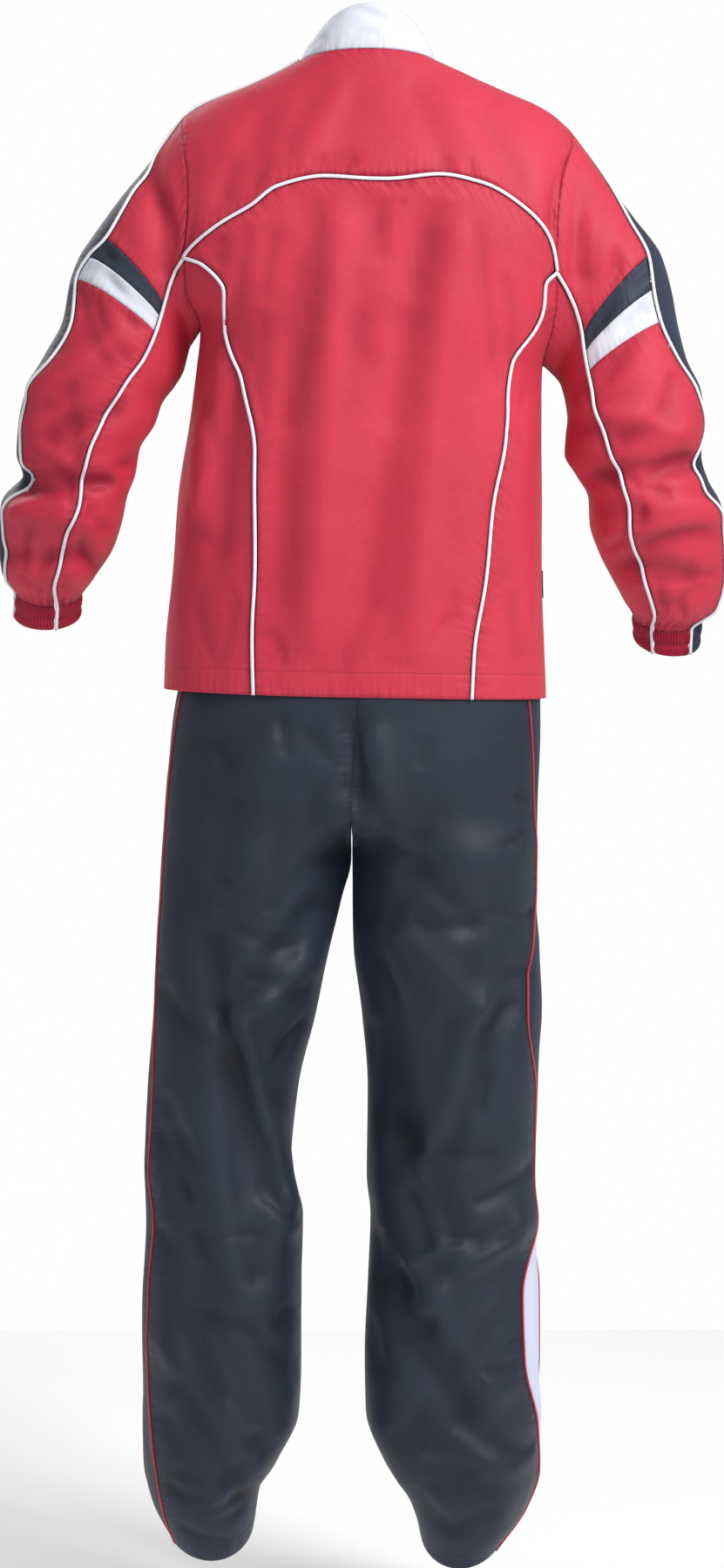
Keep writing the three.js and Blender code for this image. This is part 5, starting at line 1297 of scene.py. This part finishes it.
# The trousers: long straight legs of dark navy satin nylon, each a back and a front panel with a stripe panel let
# in at the side. The stripe on the wearer's right turns white from above the knee down.
HIP_SIZES = ("left", "right", "back", "front", "square", "stripe_left", "stripe_right")
HIPS = {
    -556: (166, -160, 104, 96, 2.3, 20, 33),
    -596: (170, -164, 106, 98, 2.3, 20, 33),
    -636: (187, -182, 112, 103, 2.35, 20, 33),
    -672: (199, -191, 118.6, 107, 2.4, 20, 32),
    -735: (208, -191, 121, 108, 2.4, 18, 25),
    -798: (213, -190, 117, 106, 2.35, 16, 20),
}
WAISTBAND_LEVEL = -596
LEG = {
    "left": [
        (215, -838, 12, -852, 5, 106, 0, 15),
        (218, -885, 22, -893, 5, 102, 0, 15),
        (223, -945, 35, -945, 5, 99, 0, 17),
        (227, -1020, 50, -1020, 4, 95, 0, 18),
        (231, -1100, 69, -1100, 2, 91, 0, 22),
        (234, -1185, 77, -1185, 0, 89, 0, 19),
        (233, -1243, 64, -1240, 2, 91, 0, 26),
        (237, -1320, 66, -1320, 4, 92, 0, 23),
        (239, -1400, 66, -1398, 2, 93, 1, 25),
        (240, -1465, 69, -1460, -4, 95, 3, 31),
        (238, -1515, 88, -1503, -15, 97, 7, 39),
        (231, -1550, 111, -1540, -28, 98, 12, 44),
        (217, -1578, 119, -1588, -42, 93, 17, 44),
    ],
    "right": [
        (-190, -838, 10, -852, 5, 106, 0, 14),
        (-189, -885, 10, -893, 5, 102, 0, 12),
        (-192, -945, 9, -945, 5, 99, 0, 25),
        (-194, -1020, 0, -1020, 4, 96, 0, 34),
        (-191, -1100, -6, -1100, 2, 94, 0, 17),
        (-188, -1194, -5, -1194, 0, 92, 0, 12),
        (-191, -1243, -9, -1240, 2, 93, 0, 12),
        (-192, -1315, -6, -1315, 4, 94, 0, 38),
        (-193, -1390, -3, -1388, 2, 95, 1, 36),
        (-196, -1460, -4, -1455, -4, 96, 3, 21),
        (-195, -1515, -24, -1510, -15, 98, 7, 12),
        (-183, -1556, -52, -1556, -28, 98, 12, 18),
        (-160, -1584, -64, -1598, -42, 94, 17, 46),
    ],
}
LEG_STRIPE_TURN = 40
WHITE_RING = 5
TROUSER_FOLDS = [
    (1, 10, -700, 11, -765, 15, -8),
    (1, -12, -715, -45, -830, 15, 6),
    (1, 95, -720, 120, -860, 20, 7),
    (1, 40, -900, 150, -1010, 17, -8),
    (1, 62, -960, 165, -1050, 17, 8),
    (1, 160, -930, 110, -1290, 17, -8),
    (1, 110, -1040, 80, -1240, 16, 8),
    (1, 200, -1150, 170, -1330, 18, -7),
    (1, 205, -1370, 120, -1500, 19, 9),
    (1, 190, -1410, 130, -1540, 15, -8),
    (1, -60, -860, -120, -905, 18, -9),
    (1, -40, -930, -125, -1000, 18, 7),
    (1, -165, -970, -90, -1150, 17, -8),
    (1, -130, -1010, -60, -1180, 17, 7),
    (1, -30, -1130, -95, -1230, 18, -8),
    (1, -170, -1240, -60, -1330, 18, 8),
    (1, -30, -1300, -110, -1440, 19, -9),
    (1, -55, -1280, -140, -1420, 17, 8),
    (1, -160, -1500, -70, -1480, 15, 7),
    (-1, 9, -690, 11, -765, 16, -6),
    (-1, 130, -900, 120, -1150, 19, 8),
    (-1, 180, -1180, 100, -1260, 18, -8),
    (-1, 120, -1330, 170, -1500, 19, 8),
    (-1, -90, -900, -95, -1150, 19, 8),
    (-1, -40, -1190, -140, -1260, 18, -8),
    (-1, -70, -1330, -120, -1500, 19, 8),
]
TROUSER_CREASES = [
    (1, 3, -680, 4, -835, 9, -4, 2),
    (1, 2, -820, 48, -872, 10, -5, 5),
    (1, 0, -822, -46, -868, 10, -5, -5),
    (1, 8, -678, -5, -742, 7, 4, 0),
    (1, -5, -742, -29, -795, 7, 4, -2),
    (1, 39, -748, 57, -819, 15, -4, 4),
    (1, 23, -845, 105, -904, 13.5, -9, 6),
    (1, 10, -864, 77, -918, 11, -6.5, 5),
    (1, 158, -902, 62, -943, 11, -9, 4),
    (1, 140, -960, 56, -988, 10, -6.5, 3),
    (1, 191, -822, 146, -1014, 17.5, -9, 4),
    (1, 168, -713, 165, -792, 12.5, -4.5, 3),
    (1, 159, -713, 136, -751, 10, -4.5, 2),
    (1, 84, -689, 77, -736, 8.5, -4, 2),
    (1, 68, -704, 27, -754, 12.5, -4.5, -6),
    (1, 115, -707, 127, -780, 16, 4, 0),
    (1, 166, -853, 106, -879, 12.5, -5.5, 4),
    (1, -17, -801, -73, -822, 11, -7.5, 6),
    (1, -59, -827, -28, -923, 17.5, -8.5, 4),
    (1, -50, -909, -122, -916, 10, -8.5, 3),
    (1, -9, -819, -4, -927, 17.5, -8.5, 3),
    (1, -129, -898, -196, -909, 5.5, -5.5, 2),
    (1, -161, -772, -175, -789, 5, -4, 1),
    (1, -12, -921, -51, -1009, 5, 4, -2),
    (1, -140, -854, -146, -984, 15, -5.5, -4),
    (1, -149, -831, -173, -819, 6, -4, 2),
    (1, -67, -713, -61, -748, 10, -2.5, 2),
    (1, -126, -908, -117, -1010, 15, -5.5, 2),
    (1, 150, -974, 113, -1059, 10, 6.5, 2),
    (1, 122, -1037, 66, -1243, 11, 8.5, 3),
    (1, 111, -999, 88, -1124, 11, -9, 2),
    (1, 150, -1008, 96, -1210, 13.5, -9, 4),
    (1, 105, -1141, 100, -1218, 8.5, -9, 0),
    (1, 108, -1192, 62, -1242, 7, -9, 3),
    (1, 218, -980, 149, -1064, 11, -8.5, 3),
    (1, 215, -1096, 173, -1181, 11, -6.5, 3),
    (1, 223, -1128, 180, -1214, 8.5, -5.5, 3),
    (1, 181, -1237, 143, -1315, 11, -8.5, 3),
    (1, 216, -1239, 182, -1319, 11, -6.5, 3),
    (1, 166, -1246, 96, -1248, 5, -3, 0),
    (1, 104, -1074, 74, -1039, 6, -5.5, 2),
    (1, 93, -1050, 59, -1016, 6, -5, 2),
    (1, -12, -1016, -54, -1172, 19.5, -9, 4),
    (1, -47, -1155, -81, -1219, 6, 5.5, -3),
    (1, -45, -1196, -71, -1266, 8.5, -9, -3),
    (1, -48, -1173, -151, -1160, 13.5, -6.5, -6),
    (1, -74, -1127, -125, -1031, 12.5, -9, -4),
    (1, -105, -1058, -170, -993, 12.5, -8.5, -4),
    (1, -96, -1004, -83, -1089, 11, -5.5, 2),
    (1, -115, -1215, -188, -1177, 10, -9, 3),
    (1, -81, -1251, -166, -1236, 11, -6.5, 5),
    (1, -109, -1258, -176, -1247, 5, -5, 2),
    (1, -37, -1277, -122, -1251, 8.5, 5.5, 3),
    (1, -90, -1301, -169, -1272, 13.5, -6.5, 5),
    (1, -9, -1246, -52, -1321, 13.5, -8.5, 3),
    (1, -138, -1063, -123, -1125, 7, -5, 2),
    (1, 203, -1292, 183, -1354, 12.5, -11, 0),
    (1, 188, -1337, 170, -1426, 16, -11.5, -6),
    (1, 183, -1411, 104, -1483, 15, -11.5, 14),
    (1, 195, -1332, 105, -1356, 11, -8.5, -6),
    (1, 130, -1339, 61, -1421, 11, -5.5, -4),
    (1, 173, -1349, 134, -1419, 7, 5, 0),
    (1, 152, -1426, 107, -1459, 11, 5.5, 2),
    (1, 213, -1434, 163, -1504, 13.5, -9, 8),
    (1, 209, -1508, 127, -1525, 10, -8.5, -6),
    (1, 213, -1520, 160, -1539, 8.5, -6.5, 4),
    (1, 182, -1555, 118, -1532, 7, -6.5, 3),
    (1, 169, -1566, 125, -1552, 7, -5.5, 3),
    (1, 199, -1567, 141, -1590, 7, -5.5, 3),
    (1, 147, -1513, 102, -1462, 11, -8.5, 4),
    (1, 82, -1326, 88, -1355, 10, -5.5, 0),
    (1, -23, -1294, -47, -1365, 16, -11.5, 4),
    (1, -35, -1343, -85, -1412, 16, -11.5, 0),
    (1, -71, -1391, -111, -1457, 13.5, -11.5, -3),
    (1, -7, -1342, -25, -1412, 13.5, -6.5, 3),
    (1, -52, -1431, -149, -1470, 11, -11, -3),
    (1, -125, -1459, -185, -1490, 11, -8.5, 4),
    (1, -53, -1435, -122, -1513, 15, -11, 6),
    (1, -29, -1463, -121, -1510, 15, -6.5, 8),
    (1, -117, -1392, -150, -1325, 12.5, -11, -3),
    (1, -138, -1351, -161, -1293, 11, -9, 0),
    (1, -87, -1380, -131, -1386, 10, -8.5, -5),
    (1, -110, -1387, -169, -1387, 8.5, -6.5, 5),
    (1, -56, -1526, -148, -1530, 11, -6.5, -6),
    (1, -85, -1573, -147, -1545, 10, -6.5, 3),
    (1, -52, -1524, -102, -1581, 10, -6.5, 4),
    (1, -152, -1370, -170, -1360, 5, -5, 0),
    (1, -58, -1357, -82, -1327, 6, -5, 1),
    (-1, 55, -855, 154, -965, 11, -5, 8),
    (-1, -45, -855, -144, -965, 11, -5, -8),
    (-1, 85, -1116, 195, -1204, 11, -5.5, 8),
    (-1, -24, -1116, -146, -1204, 11, -5.5, -8),
    (-1, 84, -1296, 206, -1384, 11, -5.5, -8),
    (-1, -24, -1296, -156, -1394, 11, -5.5, 8),
    (-1, 105, -1446, 215, -1524, 11, -5.5, 8),
    (-1, -44, -1456, -166, -1534, 11, -5.5, -8),
]
hips = sections(HIPS, HIP_SIZES)


def hip_station(side, level):
    row = dict(zip(HIP_SIZES, HIPS[level]))
    stripe = row[f"stripe_{side}"]

    def angle(turn):
        share = (1 + np.cos(np.radians(turn))) / 2
        reached = np.arccos(share ** (row["square"] / 2))
        reached = np.sign(turn) * np.where(np.abs(turn) > 180, math.pi - reached, reached)
        return reached if side == "left" else math.pi - reached

    return {
        **leg_seams(stripe),
        "point": lambda turn: bare_section(hips, angle(turn), np.full(turn.shape, float(level))),
        "facing": lambda turn: np.sin(angle(turn)),
    }


def leg_seams(stripe):
    front = stripe - LEG_STRIPE_TURN
    return {"inseam_front": -180, "stripe_front": front, "stripe_back": stripe, "inseam_back": 180}


def leg_stations(side):
    upper = [hip_station(side, level) for level in HIPS if level <= WAISTBAND_LEVEL]
    rings = [dict(zip(RING_SIZES, row)) for row in LEG[side]]
    return upper + [ring_station(ring, leg_seams(ring["stripe"])) for ring in rings]


legs = {side: leg_stations(side) for side in SIDES}
LEG_END = len(legs["left"]) - 1
WHITE_START = LEG_END + 1 - len(LEG["left"]) + WHITE_RING
LEG_ROWS = 15  # rows of points from one ring of a leg to the next
LEG_COLUMNS = {"back": 62, "front": 58, "stripe": 16}
SIDE_GAP = 1.95
satin = woven_nylon("navy_satin", "222b3d", "192131", "080a11", 0.56, crease=0.5, hem_line=0.022)
white_satin = woven_nylon("white_satin", "d6dcf0", "ced5ec", "a9b2d0", 0.55, crease=0.5, hem_line=0.022)


def leg_panel(name, side, start, end, columns, span, gaps, material, slot_name):
    rows = LEG_ROWS * (span[1] - span[0])
    grid, facing = limb_grid(side, legs[side], start, end, columns, span, rows)
    grid = creased(grid, facing, TROUSER_FOLDS, TROUSER_CREASES, 1.25)
    hem = "bottom" if span[1] == LEG_END else None
    build_sheet(f"{name}_{side}", grid, on_side(side, gaps), material, slot_name, "hung", ["waistband_cloth"], hem)


whole = (0, LEG_END)
for side in SIDES:
    cloth = "navy_trouser_cloth"
    back = {"top": PLAIN_GAP, "left": SIDE_GAP, "right": PLAIN_GAP}
    leg_panel("leg_back", side, "stripe_back", "inseam_back", LEG_COLUMNS["back"], whole, back, satin, cloth)
    ahead = {"top": PLAIN_GAP, "left": PLAIN_GAP, "right": SIDE_GAP}
    leg_panel("leg_front", side, "inseam_front", "stripe_front", LEG_COLUMNS["front"], whole, ahead, satin, cloth)
    stripe = {"top": PLAIN_GAP, "left": SIDE_GAP, "right": SIDE_GAP}
    edges = ("stripe_front", "stripe_back", LEG_COLUMNS["stripe"])
    if side == "left":
        leg_panel("leg_stripe", side, *edges, whole, stripe, satin, cloth)
    else:
        upper = {**stripe, "bottom": PLAIN_GAP}
        leg_panel("leg_stripe_upper", side, *edges, (0, WHITE_START), upper, satin, cloth)
        leg_panel("leg_stripe_white", side, *edges, (WHITE_START, LEG_END), stripe, white_satin, "white_cloth")

# The trousers' pipings: thinner cords in red nylon down both edges of each side stripe.
SIDE_PIPING = {"half_width": 1.45, "half_height": 1.2, "lift": 0.4, "sides": 10, "step": 4.2}
red_piping = piping_cloth("red_piping", "c01838", "a81230", 0.45)
for side in SIDES:
    at = np.linspace(0, LEG_END, LEG_END * LEG_ROWS + 1)
    for edge in ("front", "back"):
        ends = ("stripe_front", "stripe_back") if edge == "front" else ("stripe_back", "inseam_back")
        line = limb_seam(side, legs[side], ends, at, TROUSER_FOLDS, TROUSER_CREASES, 1.25)
        piping(f"leg_piping_{edge}_{side}", *line, SIDE_PIPING, red_piping, "red_cord")

# The waistband: a folded band of the trousers' own cloth with wide elastic inside, gathered all round the waist.
WAIST_RIBS = 60
WAIST_GAP = 0.3
WAIST_THICKNESS = 0.0014
waist_turns = np.linspace(0, 2 * math.pi, WAIST_RIBS * RIB_POINTS + 1)
waist_angles, waist_heights = np.meshgrid(waist_turns, np.linspace(0, 1, 17))
waist_levels = WAISTBAND_LEVEL + WAIST_GAP + (max(HIPS) - WAISTBAND_LEVEL - WAIST_GAP) * waist_heights
waist = bare_section(hips, waist_angles, waist_levels)
ribs = np.cos(waist_angles * WAIST_RIBS) * (0.5 + 0.5 * np.sin(waist_heights * math.pi)) * 1.1
ribs *= 1 - 0.7 * bell(waist_heights - 0.5, 0.06)
waist = waist + outward(waist) * ribs[..., None]
waist[:, -1] = waist[:, 0]
held = ("gathered", ["leg_back_left_cloth"])
build_sheet("waistband", waist, {"bottom": WAIST_GAP}, satin, "navy_trouser_cloth", *held, thick=WAIST_THICKNESS)
